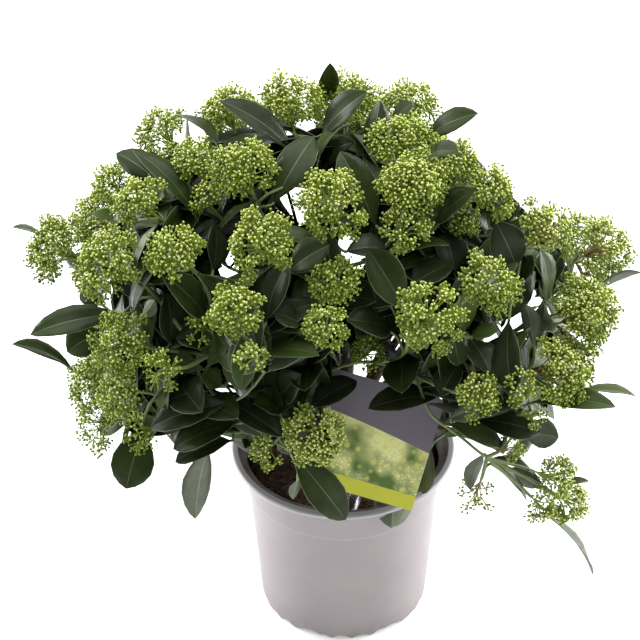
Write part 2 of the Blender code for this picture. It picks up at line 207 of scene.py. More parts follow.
def in_photo_outline(x, y):
    # Whether pixels lie inside the crown's outline, by counting the sides that a level line crosses
    inside = np.zeros(np.shape(x), bool)
    for (xa, ya), (xb, yb) in zip(OUTLINE, OUTLINE[1:] + OUTLINE[:1]):
        if ya != yb:
            crossed = (ya > y) != (yb > y)
            inside ^= crossed & (x < xa + (y - ya) * (xb - xa) / (yb - ya))
    return inside


def in_gap(places, margin):
    # Which of an array of points show inside one of the openings, or this many pixels from it
    x, y, _ = pixels_of(places)
    gaps = np.array(SKY_GAPS, float)
    off = np.hypot(x[:, None] - gaps[:, 0], y[:, None] - gaps[:, 1])
    return np.any(off < gaps[:, 2] + margin, axis=1)


def across_to(axis):
    # Two directions square to an axis and to each other
    first = axis.orthogonal().normalized()
    return first, axis.cross(first)


def around(first, second, angle):
    # The direction at an angle from the first of two that are square to each other
    return first * math.cos(angle) + second * math.sin(angle)


def direction_at(points, index):
    before = points[max(index - 1, 0)]
    after = points[min(index + 1, len(points) - 1)]
    return (after - before).normalized()


def taper(first, last, count):
    return [first + (last - first) * i / (count - 1) for i in range(count)]


def jitter(rng, most):
    return Vector([rng.uniform(-most, most) for _ in range(3)])


SWEEP = 0.40                  # share of a curve's length over which each end runs straight


def cubic(start, leaving, end, arriving, steps):
    # A curve that leaves and arrives straight, read at even steps
    sweep = (end - start).length * SWEEP
    control_a = start + leaving * sweep
    control_b = end - arriving * sweep
    points = []
    for step in range(steps + 1):
        t = step / steps
        s = 1.0 - t
        points.append(s ** 3 * start + 3 * s * s * t * control_a + 3 * s * t * t * control_b + t ** 3 * end)
    return points


def through(places, steps):
    # A curve through every place, read at even steps between each two
    ends = [places[0] * 2.0 - places[1], *places, places[-1] * 2.0 - places[-2]]
    points = [places[0]]
    for a, b, c, d in zip(ends, ends[1:], ends[2:], ends[3:]):
        for step in range(1, steps + 1):
            t = step / steps
            bend = (2.0 * a - 5.0 * b + 4.0 * c - d) * t * t + (3.0 * b - a - 3.0 * c + d) * t ** 3
            points.append(b + 0.5 * ((c - a) * t + bend))
    return points


# Objects and shapes

def new_object(name, data):
    thing = bpy.data.objects.new(name, data)
    bpy.context.scene.collection.objects.link(thing)
    return thing


def mesh_object(name, vertices, faces, materials, face_materials=None, smooth=True):
    mesh = bpy.data.meshes.new(name)
    mesh.from_pydata(vertices, [], faces)
    for material in materials:
        mesh.materials.append(material)
    if face_materials is not None:
        mesh.polygons.foreach_set("material_index", face_materials)
    if smooth:
        mesh.shade_smooth()
    mesh.update()
    return new_object(name, mesh)


def shape_object(name, shape, materials, smooth=True):
    # The object of a finished bmesh
    mesh = bpy.data.meshes.new(name)
    shape.to_mesh(mesh)
    shape.free()
    for material in materials:
        mesh.materials.append(material)
    if smooth:
        mesh.shade_smooth()
    return new_object(name, mesh)


def join_rings(shape, ring, following, sides):
    # The faces between two rings of corners, either of which may be the one corner of a pole
    faces = []
    for side in range(sides):
        nxt = (side + 1) % sides
        corners = list(dict.fromkeys((ring[side % len(ring)], ring[nxt % len(ring)],
                                      following[nxt % len(following)], following[side % len(following)])))
        if len(corners) > 2:
            faces.append(shape.faces.new(corners))
    return faces


def turned(profile, sides, kinds=None, shift=None):
    # A shape turned about Z from radii and heights in millimetres, where a radius of 0 is a pole
    shape = bmesh.new()
    rings = []
    for radius, height in profile:
        ring = []
        for side in range(sides if radius else 1):
            angle = math.tau * side / sides
            r, z = shift(angle, radius, height) if shift else (radius, height)
            ring.append(shape.verts.new((r * math.cos(angle) * MM, r * math.sin(angle) * MM, z * MM)))
        rings.append(ring)
    for index, (ring, following) in enumerate(zip(rings, rings[1:])):
        for face in join_rings(shape, ring, following, sides):
            face.material_index = kinds[index] if kinds else 0
    return shape


def settle(piece, slot, *nodes):
    # Every piece rides on the one body, and some stand for nodes of the frame
    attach(piece, "root")
    if nodes:
        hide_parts(*nodes)


# Shader node groups, each built once

MIX_A, MIX_B, MIX_RESULT = 6, 7, 2  # the colour sockets of a Mix node


def add_node(tree, kind, inputs=None, **settings):
    # A node, whose inputs are each another node's output or a plain value
    node = tree.nodes.new(kind)
    for key, value in settings.items():
        setattr(node, key, value)
    for key, value in (inputs or {}).items():
        if isinstance(value, bpy.types.NodeSocket):
            tree.links.new(value, node.inputs[key])
        else:
            node.inputs[key].default_value = value
    return node


def link_all(tree, node, **sources):
    for key, source in sources.items():
        tree.links.new(source, node.inputs[key.replace("_", " ")])


def mixed(tree, factor, colour_a, colour_b):
    node = add_node(tree, "ShaderNodeMix", {"Factor": factor, MIX_A: colour_a, MIX_B: colour_b},
                    data_type="RGBA")
    return node.outputs[MIX_RESULT]


def computed(tree, operation, *values):
    # The result of a Math node
    return add_node(tree, "ShaderNodeMath", dict(enumerate(values)), operation=operation).outputs["Value"]


def ranged(tree, value, low, high, most=1.0):
    # A value that runs from low to high, turned into one that runs from 0 to most
    return add_node(tree, "ShaderNodeMapRange", {
        "Value": value, "From Min": low, "From Max": high, "To Max": most}).outputs["Result"]


def new_group(name, inputs, outputs):
    group = bpy.data.node_groups.new(name, "ShaderNodeTree")
    for label, kind, value in inputs:
        socket = group.interface.new_socket(label, in_out="INPUT", socket_type="NodeSocket" + kind)
        socket.default_value = value
    for label, kind in outputs:
        group.interface.new_socket(label, in_out="OUTPUT", socket_type="NodeSocket" + kind)
    return group, group.nodes.new("NodeGroupInput").outputs, group.nodes.new("NodeGroupOutput")


def mottle_group():
    # Two colours mingled by soft noise on the piece's own coordinates
    group, given, result = new_group("mottle", [
        ("Colour A", "Color", (1, 1, 1, 1)),
        ("Colour B", "Color", (0, 0, 0, 1)),
        ("Scale", "Float", 50.0),
        ("Low", "Float", 0.35),
        ("High", "Float", 0.65),
    ], [("Colour", "Color"), ("Mask", "Float")])
    place = add_node(group, "ShaderNodeTexCoord")
    cloud = add_node(group, "ShaderNodeTexNoise", {
        "Detail": 5.0, "Roughness": 0.6, "Vector": place.outputs["Object"], "Scale": given["Scale"]})
    mask = ranged(group, cloud.outputs["Fac"], given["Low"], given["High"])
    link_all(group, result, Colour=mixed(group, mask, given["Colour A"], given["Colour B"]), Mask=mask)
    return group


def grain_group():
    # Fine relief and the uneven gloss that goes with it
    group, given, result = new_group("grain", [
        ("Scale", "Float", 400.0),
        ("Stretch", "Vector", (1.0, 1.0, 1.0)),
        ("Smoothest", "Float", 0.4),
        ("Roughest", "Float", 0.6),
    ], [("Height", "Float"), ("Roughness", "Float")])
    place = add_node(group, "ShaderNodeTexCoord")
    stretched = add_node(group, "ShaderNodeVectorMath", {0: place.outputs["Object"], 1: given["Stretch"]},
                         operation="MULTIPLY")
    cloud = add_node(group, "ShaderNodeTexNoise", {
        "Detail": 4.0, "Vector": stretched.outputs[0], "Scale": given["Scale"]})
    gloss = add_node(group, "ShaderNodeMapRange", {
        "Value": cloud.outputs["Fac"], "To Min": given["Smoothest"], "To Max": given["Roughest"]})
    link_all(group, result, Height=cloud.outputs["Fac"], Roughness=gloss.outputs["Result"])
    return group


MOTTLE = mottle_group()
GRAIN = grain_group()


def place_group(material, group, **values):
    node = add_node(material.node_tree, "ShaderNodeGroup", node_tree=group)
    for key, value in values.items():
        node.inputs[key.replace("_", " ")].default_value = value
    return node.outputs


def new_material(name, **constants):
    material = bpy.data.materials.new(name)
    material.use_nodes = True
    shader = material.node_tree.nodes["Principled BSDF"]
    for key, value in constants.items():
        shader.inputs[key.replace("_", " ")].default_value = value
    return material, shader


def mingled(material, colour_a, colour_b, scale, low=0.35, high=0.65):
    return place_group(material, MOTTLE, Colour_A=(*colour_a, 1), Colour_B=(*colour_b, 1), Scale=scale,
                       Low=low, High=high)["Colour"]


def finish_surface(material, shader, colour, gloss, relief, relief_scale, stretch=(1, 1, 1)):
    # Gives the shader its colour, with a fine grain in relief and in gloss
    grain = place_group(material, GRAIN, Scale=relief_scale, Stretch=stretch, Smoothest=gloss[0],
                        Roughest=gloss[1])
    bump = add_node(material.node_tree, "ShaderNodeBump", {
        "Distance": relief * MM, "Height": grain["Height"]})
    link_all(material.node_tree, shader, Base_Color=colour, Roughness=grain["Roughness"],
             Normal=bump.outputs["Normal"])
    return material


def mottled(name, colour_a, colour_b, scale, gloss, relief, relief_scale, stretch=(1, 1, 1), **constants):
    # The common finish: two mingled colours
    material, shader = new_material(name, **constants)
    colour = mingled(material, colour_a, colour_b, scale)
    return finish_surface(material, shader, colour, gloss, relief, relief_scale, stretch)


# Materials of the plant

def leaf_blade(name, colour_a, colour_b):
    return mottled(name, colour_a, colour_b, 60.0, (0.28, 0.40), 0.08, 400.0, Specular_IOR_Level=0.14)


def leaf_line(name, colour_a, colour_b):
    return mottled(name, colour_a, colour_b, 80.0, (0.4, 0.5), 0.05, 600.0)


def leaf_back(name, colour_a, colour_b, relief):
    return mottled(name, colour_a, colour_b, 90.0, (0.5, 0.65), relief, 500.0)


def bud_skin(name, colour_a, colour_b):
    return mottled(name, colour_a, colour_b, 300.0, (0.4, 0.55), 0.05, 900.0, Specular_IOR_Level=0.22)


def flower_stalk(name, colour_a, colour_b):
    return mottled(name, colour_a, colour_b, 150.0, (0.45, 0.6), 0.1, 700.0)


LEAF_TINTS = [
    leaf_blade("leaf_deep", (0.015, 0.026, 0.006), (0.026, 0.041, 0.009)),
    leaf_blade("leaf_dark", (0.014, 0.020, 0.008), (0.023, 0.032, 0.012)),
    leaf_blade("leaf_green", (0.027, 0.045, 0.009), (0.040, 0.064, 0.014)),
    leaf_blade("leaf_olive", (0.048, 0.064, 0.016), (0.068, 0.088, 0.024)),
]
LEAF_RIB = leaf_line("leaf_rib", (0.040, 0.062, 0.022), (0.065, 0.092, 0.032))
LEAF_EDGE = leaf_line("leaf_edge", (0.060, 0.082, 0.036), (0.11, 0.14, 0.065))
LEAF_UNDER = leaf_back("leaf_under", (0.085, 0.102, 0.062), (0.12, 0.14, 0.09), 0.15)
LEAF_UNDER_RIB = leaf_back("leaf_under_rib", (0.15, 0.18, 0.10), (0.20, 0.23, 0.14), 0.1)
LEAF_MATERIALS = [*LEAF_TINTS, LEAF_RIB, LEAF_EDGE, LEAF_UNDER, LEAF_UNDER_RIB]

# Two tones of a bud's body and two of its tip, as lit and shaded copies from painted light to painted shade
# A tip's paleness is partly the petals' paler ends and partly a painted highlight, duller on shaded buds
BUD_TINTS = {
    "light": ((0.28, 0.36, 0.026), (0.38, 0.46, 0.044), (0.51, 0.56, 0.20), (0.66, 0.70, 0.34)),
    "green": ((0.17, 0.245, 0.011), (0.25, 0.325, 0.018), (0.37, 0.43, 0.10), (0.49, 0.545, 0.19)),
    "olive": ((0.095, 0.15, 0.006), (0.15, 0.215, 0.011), (0.21, 0.275, 0.04), (0.31, 0.375, 0.08)),
}
BUD_BODY = {tint: bud_skin("bud_" + tint, *tones[:2]) for tint, tones in BUD_TINTS.items()}
BUD_TIP_HIGHLIGHT = {tint: bud_skin("bud_tip_highlight_" + tint, *tones[2:]) for tint, tones in BUD_TINTS.items()}
STALK_GREEN = flower_stalk("stalk_green", (0.16, 0.225, 0.014), (0.25, 0.315, 0.028))
STALK_RED = flower_stalk("stalk_red", (0.17, 0.125, 0.035), (0.26, 0.20, 0.065))
GREEN_WOOD = mottled("green_wood", (0.10, 0.15, 0.045), (0.17, 0.22, 0.075), 120.0, (0.5, 0.7), 0.2, 500.0)
BARK = mottled("bark", (0.10, 0.085, 0.05), (0.20, 0.17, 0.11), 140.0, (0.75, 0.95), 0.5, 400.0, (1, 1, 0.3))


# Geometry Nodes trees, each built once

def new_tree(name, inputs):
    tree = bpy.data.node_groups.new(name, "GeometryNodeTree")
    tree.interface.new_socket("Geometry", in_out="INPUT", socket_type="NodeSocketGeometry")
    for label, kind, value in inputs:
        socket = tree.interface.new_socket(label, in_out="INPUT", socket_type="NodeSocket" + kind)
        if value is not None:
            socket.default_value = value
    tree.interface.new_socket("Geometry", in_out="OUTPUT", socket_type="NodeSocketGeometry")
    return tree, tree.nodes.new("NodeGroupInput").outputs, tree.nodes.new("NodeGroupOutput")


def attribute(tree, name, kind):
    node = add_node(tree, "GeometryNodeInputNamedAttribute", {"Name": name}, data_type=kind)
    return node.outputs["Attribute"]


def realized(tree, geometry, material):
    # Realize Instances and Set Material, in which every tree ends
    real = add_node(tree, "GeometryNodeRealizeInstances", {"Geometry": geometry})
    return add_node(tree, "GeometryNodeSetMaterial", {
        "Geometry": real.outputs["Geometry"], "Material": material}).outputs["Geometry"]


def copies(tree, points, thing, rotation, scale):
    # A copy of an object on every point
    info = add_node(tree, "GeometryNodeObjectInfo", {"As Instance": True, "Object": thing})
    return add_node(tree, "GeometryNodeInstanceOnPoints", {
        "Points": points, "Instance": info.outputs["Geometry"], "Rotation": rotation,
        "Scale": scale}).outputs["Instances"]


def tube_tree():
    # A round stalk along every chain of edges, as thick as the points' own radius
    tree, given, result = new_tree("stalks_on_lines", [
        ("Sides", "Int", 4),
        ("Material", "Material", None),
    ])
    curves = add_node(tree, "GeometryNodeMeshToCurve", {"Mesh": given["Geometry"]})
    ring = add_node(tree, "GeometryNodeCurvePrimitiveCircle", {"Radius": 1.0, "Resolution": given["Sides"]})
    stalks = add_node(tree, "GeometryNodeCurveToMesh", {
        "Fill Caps": True, "Curve": curves.outputs["Curve"], "Profile Curve": ring.outputs["Curve"],
        "Scale": attribute(tree, "radius", "FLOAT")})
    link_all(tree, result, Geometry=realized(tree, stalks.outputs["Mesh"], given["Material"]))
    return tree


def bud_tree():
    # A bud on every point, turned along the point's own aim and as large as its own size
    tree, given, result = new_tree("buds_on_points", [
        ("Bud", "Object", None),
        ("Body", "Material", None),
        ("Tip", "Material", None),
    ])
    turn = add_node(tree, "FunctionNodeAlignRotationToVector", {
        "Vector": attribute(tree, "aim", "FLOAT_VECTOR")}, axis="Z")
    buds = copies(tree, given["Geometry"], given["Bud"], turn.outputs["Rotation"],
                  attribute(tree, "size", "FLOAT"))
    tip = add_node(tree, "GeometryNodeSetMaterial", {
        "Geometry": realized(tree, buds, given["Body"]), "Selection": attribute(tree, "tip", "BOOLEAN"),
        "Material": given["Tip"]})
    link_all(tree, result, Geometry=tip.outputs["Geometry"])
    return tree


STEEPEST = 0.7                # cosine from upright of the steepest face that holds what is strewn
TILT = 0.7                    # most that a strewn thing tilts, in radians


def scatter_tree():
    # Small things strewn on the faces that look up, each turned and sized at random from a fixed seed
    tree, given, result = new_tree("strewn_on_top", [
        ("Thing", "Object", None),
        ("Density", "Float", 10000.0),
        ("Smallest", "Float", 0.5),
        ("Largest", "Float", 1.5),
        ("Seed", "Int", 1),
        ("Material", "Material", None),
    ])
    normal = add_node(tree, "GeometryNodeInputNormal")
    height = add_node(tree, "ShaderNodeSeparateXYZ", {"Vector": normal.outputs["Normal"]})
    looks_up = add_node(tree, "FunctionNodeCompare", {0: height.outputs["Z"], 1: STEEPEST},
                        operation="GREATER_THAN", data_type="FLOAT")
    points = add_node(tree, "GeometryNodeDistributePointsOnFaces", {
        "Mesh": given["Geometry"], "Selection": looks_up.outputs["Result"],
        "Density": given["Density"], "Seed": given["Seed"]})
    turn = add_node(tree, "FunctionNodeRandomValue", {"Max": (TILT, TILT, math.tau), "Seed": given["Seed"]},
                    data_type="FLOAT_VECTOR")
    size = add_node(tree, "FunctionNodeRandomValue", {
        2: given["Smallest"], 3: given["Largest"], "Seed": given["Seed"]}, data_type="FLOAT")
    strewn = copies(tree, points.outputs["Points"], given["Thing"], turn.outputs["Value"], size.outputs[1])
    link_all(tree, result, Geometry=realized(tree, strewn, given["Material"]))
    return tree


def source_object(name, vertices, edges, **attributes):
    # Points or lines for a tree to work on, with a value of each attribute for every point
    mesh = bpy.data.meshes.new(name)
    mesh.from_pydata(vertices, edges, [])
    for key, values in attributes.items():
        kind, field = ("FLOAT_VECTOR", "vector") if key == "aim" else ("FLOAT", "value")
        mesh.attributes.new(key, kind, "POINT").data.foreach_set(field, values)
    return new_object(name, mesh)


def grown(name, source, tree, smooth=True, **values):
    # The plain mesh that a tree makes of a source object, which goes away
    modifier = source.modifiers.new(name, "NODES")
    modifier.node_group = tree
    for socket in tree.interface.items_tree:
        if socket.in_out == "INPUT" and socket.name in values:
            modifier[socket.identifier] = values[socket.name]
    graph = bpy.context.evaluated_depsgraph_get()
    mesh = bpy.data.meshes.new_from_object(source.evaluated_get(graph))
    mesh.name = name
    if smooth:
        mesh.shade_smooth()
    for left_over in [a.name for a in mesh.attributes if a.name in ("aim", "size", "tip", "radius")]:
        mesh.attributes.remove(mesh.attributes[left_over])
    bpy.data.objects.remove(source)
    return new_object(name, mesh)


TUBES = tube_tree()
BUDS = bud_tree()
STREWN = scatter_tree()


def tubes(name, lines, sides, material):
    # Lines are pairs of points and radii
    vertices, edges, radii = [], [], []
    for points, widths in lines:
        first = len(vertices)
        vertices.extend(points)
        radii.extend(widths)
        edges.extend((first + i, first + i + 1) for i in range(len(points) - 1))
    source = source_object(name + "_lines", vertices, edges, radius=radii)
    return grown(name, source, TUBES, Sides=sides, Material=material)


# Limbs: the stem and boughs of the frame, and the shoots that go on from them to every flower head,
# in millimetres

CROWN_HUB = Vector((0.0, 0.0, 200.0)) * MM
FULL_HEAD = 24.0              # radius of a full-sized flower head
HEAD_FOOT = 0.85              # from a head's middle down to where its stalks fan out, over its radius
SHOOT_RADIUS = 1.75
SHOOT_TIP_RADIUS = 1.3
SHOOT_STEPS = 10
BOUGH_STEPS = 2 * SHOOT_STEPS
BOUGH_SIDES = 6
# Height at which the boughs of a level leave the stem, and how steeply they climb from it
BOUGH_LEVELS = ((141.0, 50.0), (153.0, 58.0), (165.0, 66.0), (176.0, 74.0), (186.0, 90.0))
# Which part of a bough and of a shoot bears shoots, from and to, over its length
BOUGH_SPAN = (0.3, 1.0)
SHOOT_SPAN = (0.0, 0.5)
SHORTEST_SHOOT = 12.0
START_TURN_COST = 1.3         # what a turn at a shoot's start costs, over its length
END_TURN_COST = 2.6
SHOOT_TO_LIMB = 0.92          # a shoot's radius over that of the limb it leaves
SEEN_SHOOT_STEPS = 4
# How much a head at the back may differ from its ring: in bearing, reach, height and radius
BACK_TURN = (-5.0, 5.0)
BACK_REACH = (-9.0, 6.0)
BACK_RISE = (-10.0, 8.0)
BACK_SIZE = (0.9, 1.1)
BACK_STEP_IN = 3.0            # steps by which such a head moves inward and down into the outline
BACK_STEP_DOWN = 5.0
BACK_FILL = 0.85


def corners_of(node):
    found = {tuple(round(c, 5) for c in v.co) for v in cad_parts[node].data.vertices}
    return [Vector(c) for c in found]


def bough_line(node):
    # A bough's two ends are the rings of corners at its ends; between them it runs as its solid does
    corners = sorted(corners_of(node), key=lambda c: c.z)
    lowest = corners[:BOUGH_SIDES]
    start = sum(lowest, Vector()) / BOUGH_SIDES
    furthest = sorted(corners, key=lambda c: (c - start).length)[-BOUGH_SIDES:]
    end = sum(furthest, Vector()) / BOUGH_SIDES
    _, climb = min(BOUGH_LEVELS, key=lambda level: abs(level[0] - start.z / MM))
    outward = Vector((start.x, start.y, 0.0)).normalized()
    leaving = around(outward, UP, math.radians(climb))
    ring_normal = (furthest[1] - furthest[0]).cross(furthest[2] - furthest[0]).normalized()
    arriving = ring_normal if ring_normal.dot(end - start) > 0 else -ring_normal
    points = cubic(start, leaving, end, arriving, BOUGH_STEPS)
    first = max((c - start).length for c in lowest)
    last = max((c - end).length for c in furthest)
    return points, taper(first, last, len(points))


def ball_in_outline(middle, radius):
    # Whether a ball at the back stays behind what the photograph shows of the crown
    x, y, depth = pixels_of(np.array([middle]))
    angles = np.linspace(0.0, math.tau, 16, endpoint=False)
    reach = radius * FOCAL_PIXELS / depth
    return bool(np.all(in_photo_outline(x + reach * np.cos(angles), y + reach * np.sin(angles))))


def head_list():
    heads = {}
    for name, (x, y, ahead, radius, fill) in SEEN_HEADS.items():
        heads[name] = {"middle": seen_at(x, y, ahead), "radius": radius * MM, "fill": fill, "seen": True}
    for ring, (ring_reach, ring_height, radius, bearings) in BACK_HEADS.items():
        for index, bearing in enumerate(bearings, start=1):
            rng = random.Random(f"{ring}{index}")
            bearing += rng.uniform(*BACK_TURN)
            reach = ring_reach + rng.uniform(*BACK_REACH)
            height = ring_height + rng.uniform(*BACK_RISE)
            middle = at_bearing(bearing, reach, height)
            while not ball_in_outline(middle, radius * MM):
                reach -= BACK_STEP_IN
                height -= BACK_STEP_DOWN
                middle = at_bearing(bearing, reach, height)
            heads[f"{ring}_{index}"] = {"middle": middle, "radius": radius * rng.uniform(*BACK_SIZE) * MM,
                                        "fill": BACK_FILL, "seen": False}
    for name, head in heads.items():
        head["name"] = name
        head["axis"] = (head["middle"] - CROWN_HUB).normalized()
        if name in SEEN_SHOOTS:
            head["way"] = [seen_at(*place) for place in SEEN_SHOOTS[name]]
            head["axis"] = (head["middle"] - head["way"][-1]).normalized()
        head["foot"] = head["middle"] - head["axis"] * head["radius"] * HEAD_FOOT
    return heads


def best_start(foot, axis, limbs):
    # The place on a limb from which a shoot has the shortest way without a sharp turn
    best = None
    for limb in limbs:
        points = limb["points"]
        low = int(len(points) * limb["span"][0])
        high = int((len(points) - 1) * limb["span"][1])
        for index in range(low, high + 1):
            way = foot - points[index]
            if way.length < SHORTEST_SHOOT * MM:
                continue
            along = direction_at(points, index)
            towards = way.normalized()
            bend = START_TURN_COST * (1.0 - towards.dot(along)) + END_TURN_COST * (1.0 - towards.dot(axis))
            cost = way.length * (1.0 + bend)
            if best is None or cost < best[0]:
                best = (cost, points[index], along, limb["radii"][index])
    return best[1:]


def grow_shoots(heads):
    # The limbs are the boughs first and then the shoots
    boughs = {node: bough_line(node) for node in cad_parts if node.startswith("bough_")}
    limbs = [{"points": points, "radii": radii, "span": BOUGH_SPAN} for points, radii in boughs.values()]
    for head in sorted(heads.values(), key=lambda h: (h["foot"] - CROWN_HUB).length):
        if "way" in head:
            points, radius = through([*head["way"], head["foot"]], SEEN_SHOOT_STEPS), SHOOT_RADIUS * MM
            if head["name"] == SHOOT_FROM_BOUGH:
                way = direction_at(points, 0)
                start, along, radius = best_start(points[0], way, limbs)
                points = cubic(start, along, points[0], way, SHOOT_STEPS) + points[1:]
        else:
            start, along, radius = best_start(head["foot"], head["axis"], limbs)
            points = cubic(start, along, head["foot"], head["axis"], SHOOT_STEPS)
        thick = min(radius * SHOOT_TO_LIMB, SHOOT_RADIUS * MM)
        thin = min(thick, SHOOT_TIP_RADIUS * MM * (0.6 + 0.4 * head["radius"] / (FULL_HEAD * MM)))
        limbs.append({"points": points, "radii": taper(thick, thin, len(points)), "span": SHOOT_SPAN})
    return boughs, limbs


# Flower heads, in millimetres

LOBES = 25                    # on a full head
FEWEST_LOBES = 5
LOBE_RADIUS = 6.8
LOWEST_LOBE = -0.30           # cosine from a head's axis
LOWEST_BUD = -0.25            # cosine from a lobe's own line
RACHIS_SHARE = 0.5            # length of a head's middle stalk, over its radius
RACHIS_RADII = (1.0, 0.8, 0.6)
BRANCH_RADII = (0.55, 0.52, 0.48)
BUD_STALK_RADII = (0.34, 0.30)
BUD_SPACING = 2.85
LOOSE_FILL = 0.75             # a head no fuller than this has its buds further apart
LOOSE_SPACING = 1.25
BUD_CROWDING = 0.52           # share of the buds that would fit side by side
BUD_LENGTH = 2.2
BUD_RADIUS = 0.98
# Height over length and radius over widest, from a bud's foot to its tip
BUD_PROFILE = ((0.0, 0.0), (0.30, 0.92), (0.76, 0.86), (1.0, 0.0))
BUD_SIDES = 5
BUD_TIP_RING = 2
# Ranges that a head, its lobes and its buds are drawn from
LONGER = (0.0, 0.22)
FLATTER = (0.0, 0.28)
LOBE_SIZE = (0.80, 1.20)
LOBE_REACH = (0.70, 1.19)
LOBE_JITTER = 0.16
BUD_REACH = (0.72, 1.16)
BUD_JITTER = 0.2
BUD_SIZE = (0.82, 1.12)
OVERLAP = 0.12                # how much deeper in another head a bud may lie, over the radius
BACK_BUD_MARGIN = 1.0         # pixels that a bud at the back keeps from an opening
# What makes a bud's tint light: chance, its own slope, its lobe's place on the head and its lobe's slope
# All but chance paint light: buds facing up and out are dealt lighter tints, those facing down and in darker
CHANCE_WEIGHT = 0.6
BUD_UP_WEIGHT = 0.35
OUTWARD_WEIGHT = 0.15
LOBE_UP_WEIGHT = 0.42
EVEN_SLOPE = 0.1
LIGHT_FROM = 1.02
GREEN_FROM = 0.62

RED_STALKED = ("right_outer", "far_right_high", "far_right_mid", "far_right", "right_low", "droop_inner",
               "droop_upper")
# Painted shade: how much darker than the rest the buds of a head are dealt out, and below 0, painted light,
# how much lighter
SHADED = {
    "front_inner": 0.45, "inner_front": 0.45, "left_inner": 0.3, "left_low_back": 0.25,
    "low_front_left": -0.2, "right_front": 0.22, "front": 0.18, "front_left": 0.12, "front_right": 0.12,
    "upper_mid_left": 0.12, "left_large": 0.12, "right_low": 0.12, "low_front": -0.9,
    "far_right_high": -0.1, "droop_outer": -0.6, "droop_low": -0.6, "droop_left": -0.6,
}


def bud_pattern():
    shape = turned([(radius * BUD_RADIUS, height * BUD_LENGTH) for height, radius in BUD_PROFILE], BUD_SIDES)
    bud = shape_object("bud_pattern", shape, [])
    mesh = bud.data
    top = BUD_PROFILE[BUD_TIP_RING][0] * BUD_LENGTH * MM
    is_tip = [min(mesh.vertices[v].co.z for v in face.vertices) > top - 0.01 * MM for face in mesh.polygons]
    mesh.attributes.new("tip", "BOOLEAN", "FACE").data.foreach_set("value", is_tip)
    return bud


def spread_directions(axis, count, lowest, rng):
    # Even directions round an axis, from straight along it down to where their cosine is lowest
    first, second = across_to(axis)
    turn = rng.uniform(0.0, math.tau)
    directions = []
    for index in range(count):
        rise = 1.0 - (index + 0.5) / count * (1.0 - lowest)
        side = math.sqrt(max(0.0, 1.0 - rise * rise))
        directions.append(axis * rise + around(first, second, turn + index * GOLDEN_ANGLE) * side)
    return directions


def deeper_in_another(place, head, neighbours):
    own = (place - head["middle"]).length / head["radius"] - OVERLAP
    return any((place - other["middle"]).length / other["radius"] < own for other in neighbours)


def in_millimetres(widths):
    return [width * MM for width in widths]


def grow_head(head, neighbours):
    # Stalks fan out from the foot to lobes, and every lobe carries buds on stalks of their own
    rng = random.Random("head " + head["name"])
    axis, radius, fill = head["axis"], head["radius"], head["fill"]
    size = radius / (FULL_HEAD * MM)
    darker = SHADED.get(head["name"], 0.0)
    count = max(FEWEST_LOBES, round(LOBES * size * size * (0.45 + 0.55 * fill)))
    lobe_radius = LOBE_RADIUS * MM * (0.55 + 0.45 * size)
    spacing = BUD_SPACING * MM * (1.0 if fill > LOOSE_FILL else LOOSE_SPACING)
    long_way = around(*across_to(axis), rng.uniform(0.0, math.tau))
    longer, flatter = rng.uniform(*LONGER), rng.uniform(*FLATTER)
    rachis = axis * radius * RACHIS_SHARE
    rachis_line = [head["foot"], head["foot"] + rachis * 0.5, head["foot"] + rachis]
    buds, bud_stalks = [], []
    branches = [(rachis_line, in_millimetres(RACHIS_RADII))]
    for outward in spread_directions(axis, count, LOWEST_LOBE, rng):
        outward = (outward + jitter(rng, LOBE_JITTER)).normalized()
        own_radius = lobe_radius * rng.uniform(*LOBE_SIZE)
        reach = (radius - 0.9 * own_radius) * rng.uniform(*LOBE_REACH)
        spread = outward + long_way * outward.dot(long_way) * longer - axis * outward.dot(axis) * flatter
        lobe = head["middle"] + spread * reach
        node = lobe - outward * own_radius * 0.45
        leaving = head["foot"] + rachis * max(0.0, 0.4 + 0.6 * outward.dot(axis))
        bend = leaving + axis * (node - leaving).length * 0.40
        branches.append(([leaving, bend.lerp(node, 0.45), node], in_millimetres(BRANCH_RADII)))
        number = round(7.0 * (own_radius / spacing) ** 2 * BUD_CROWDING)
        for aim in spread_directions(outward, number, LOWEST_BUD, rng):
            distance = own_radius * rng.uniform(*BUD_REACH)
            aim = (aim + jitter(rng, BUD_JITTER)).normalized()
            tip = lobe + aim * distance
            if deeper_in_another(tip, head, neighbours):
                continue
            if not head["seen"] and in_gap(np.array([tip]), BACK_BUD_MARGIN)[0]:
                continue
            lean = (aim * 0.8 + outward * 0.35).normalized()
            length = rng.uniform(*BUD_SIZE)
            foot = tip - lean * BUD_LENGTH * MM * length
            # Painted light and shade: the tint follows the bud's slope and its lobe's place and slope
            light = CHANCE_WEIGHT * rng.random() + BUD_UP_WEIGHT * (1.0 + aim.dot(UP))
            light += OUTWARD_WEIGHT * outward.dot(axis) + LOBE_UP_WEIGHT * (outward.dot(UP) - EVEN_SLOPE)
            light -= darker
            tint = "light" if light > LIGHT_FROM else "green" if light > GREEN_FROM else "olive"
            buds.append((foot, lean, length, tint))
            stalk = [node.lerp(foot, 0.15), foot + lean * 0.2 * MM]
            bud_stalks.append((stalk, in_millimetres(BUD_STALK_RADII)))
    return buds, branches, bud_stalks


def quarter(place):
    # The quarter of the crown, seen from above, in which a point lies
    return ("front_" if place.y < 0.0 else "back_") + ("left" if place.x < 0.0 else "right")


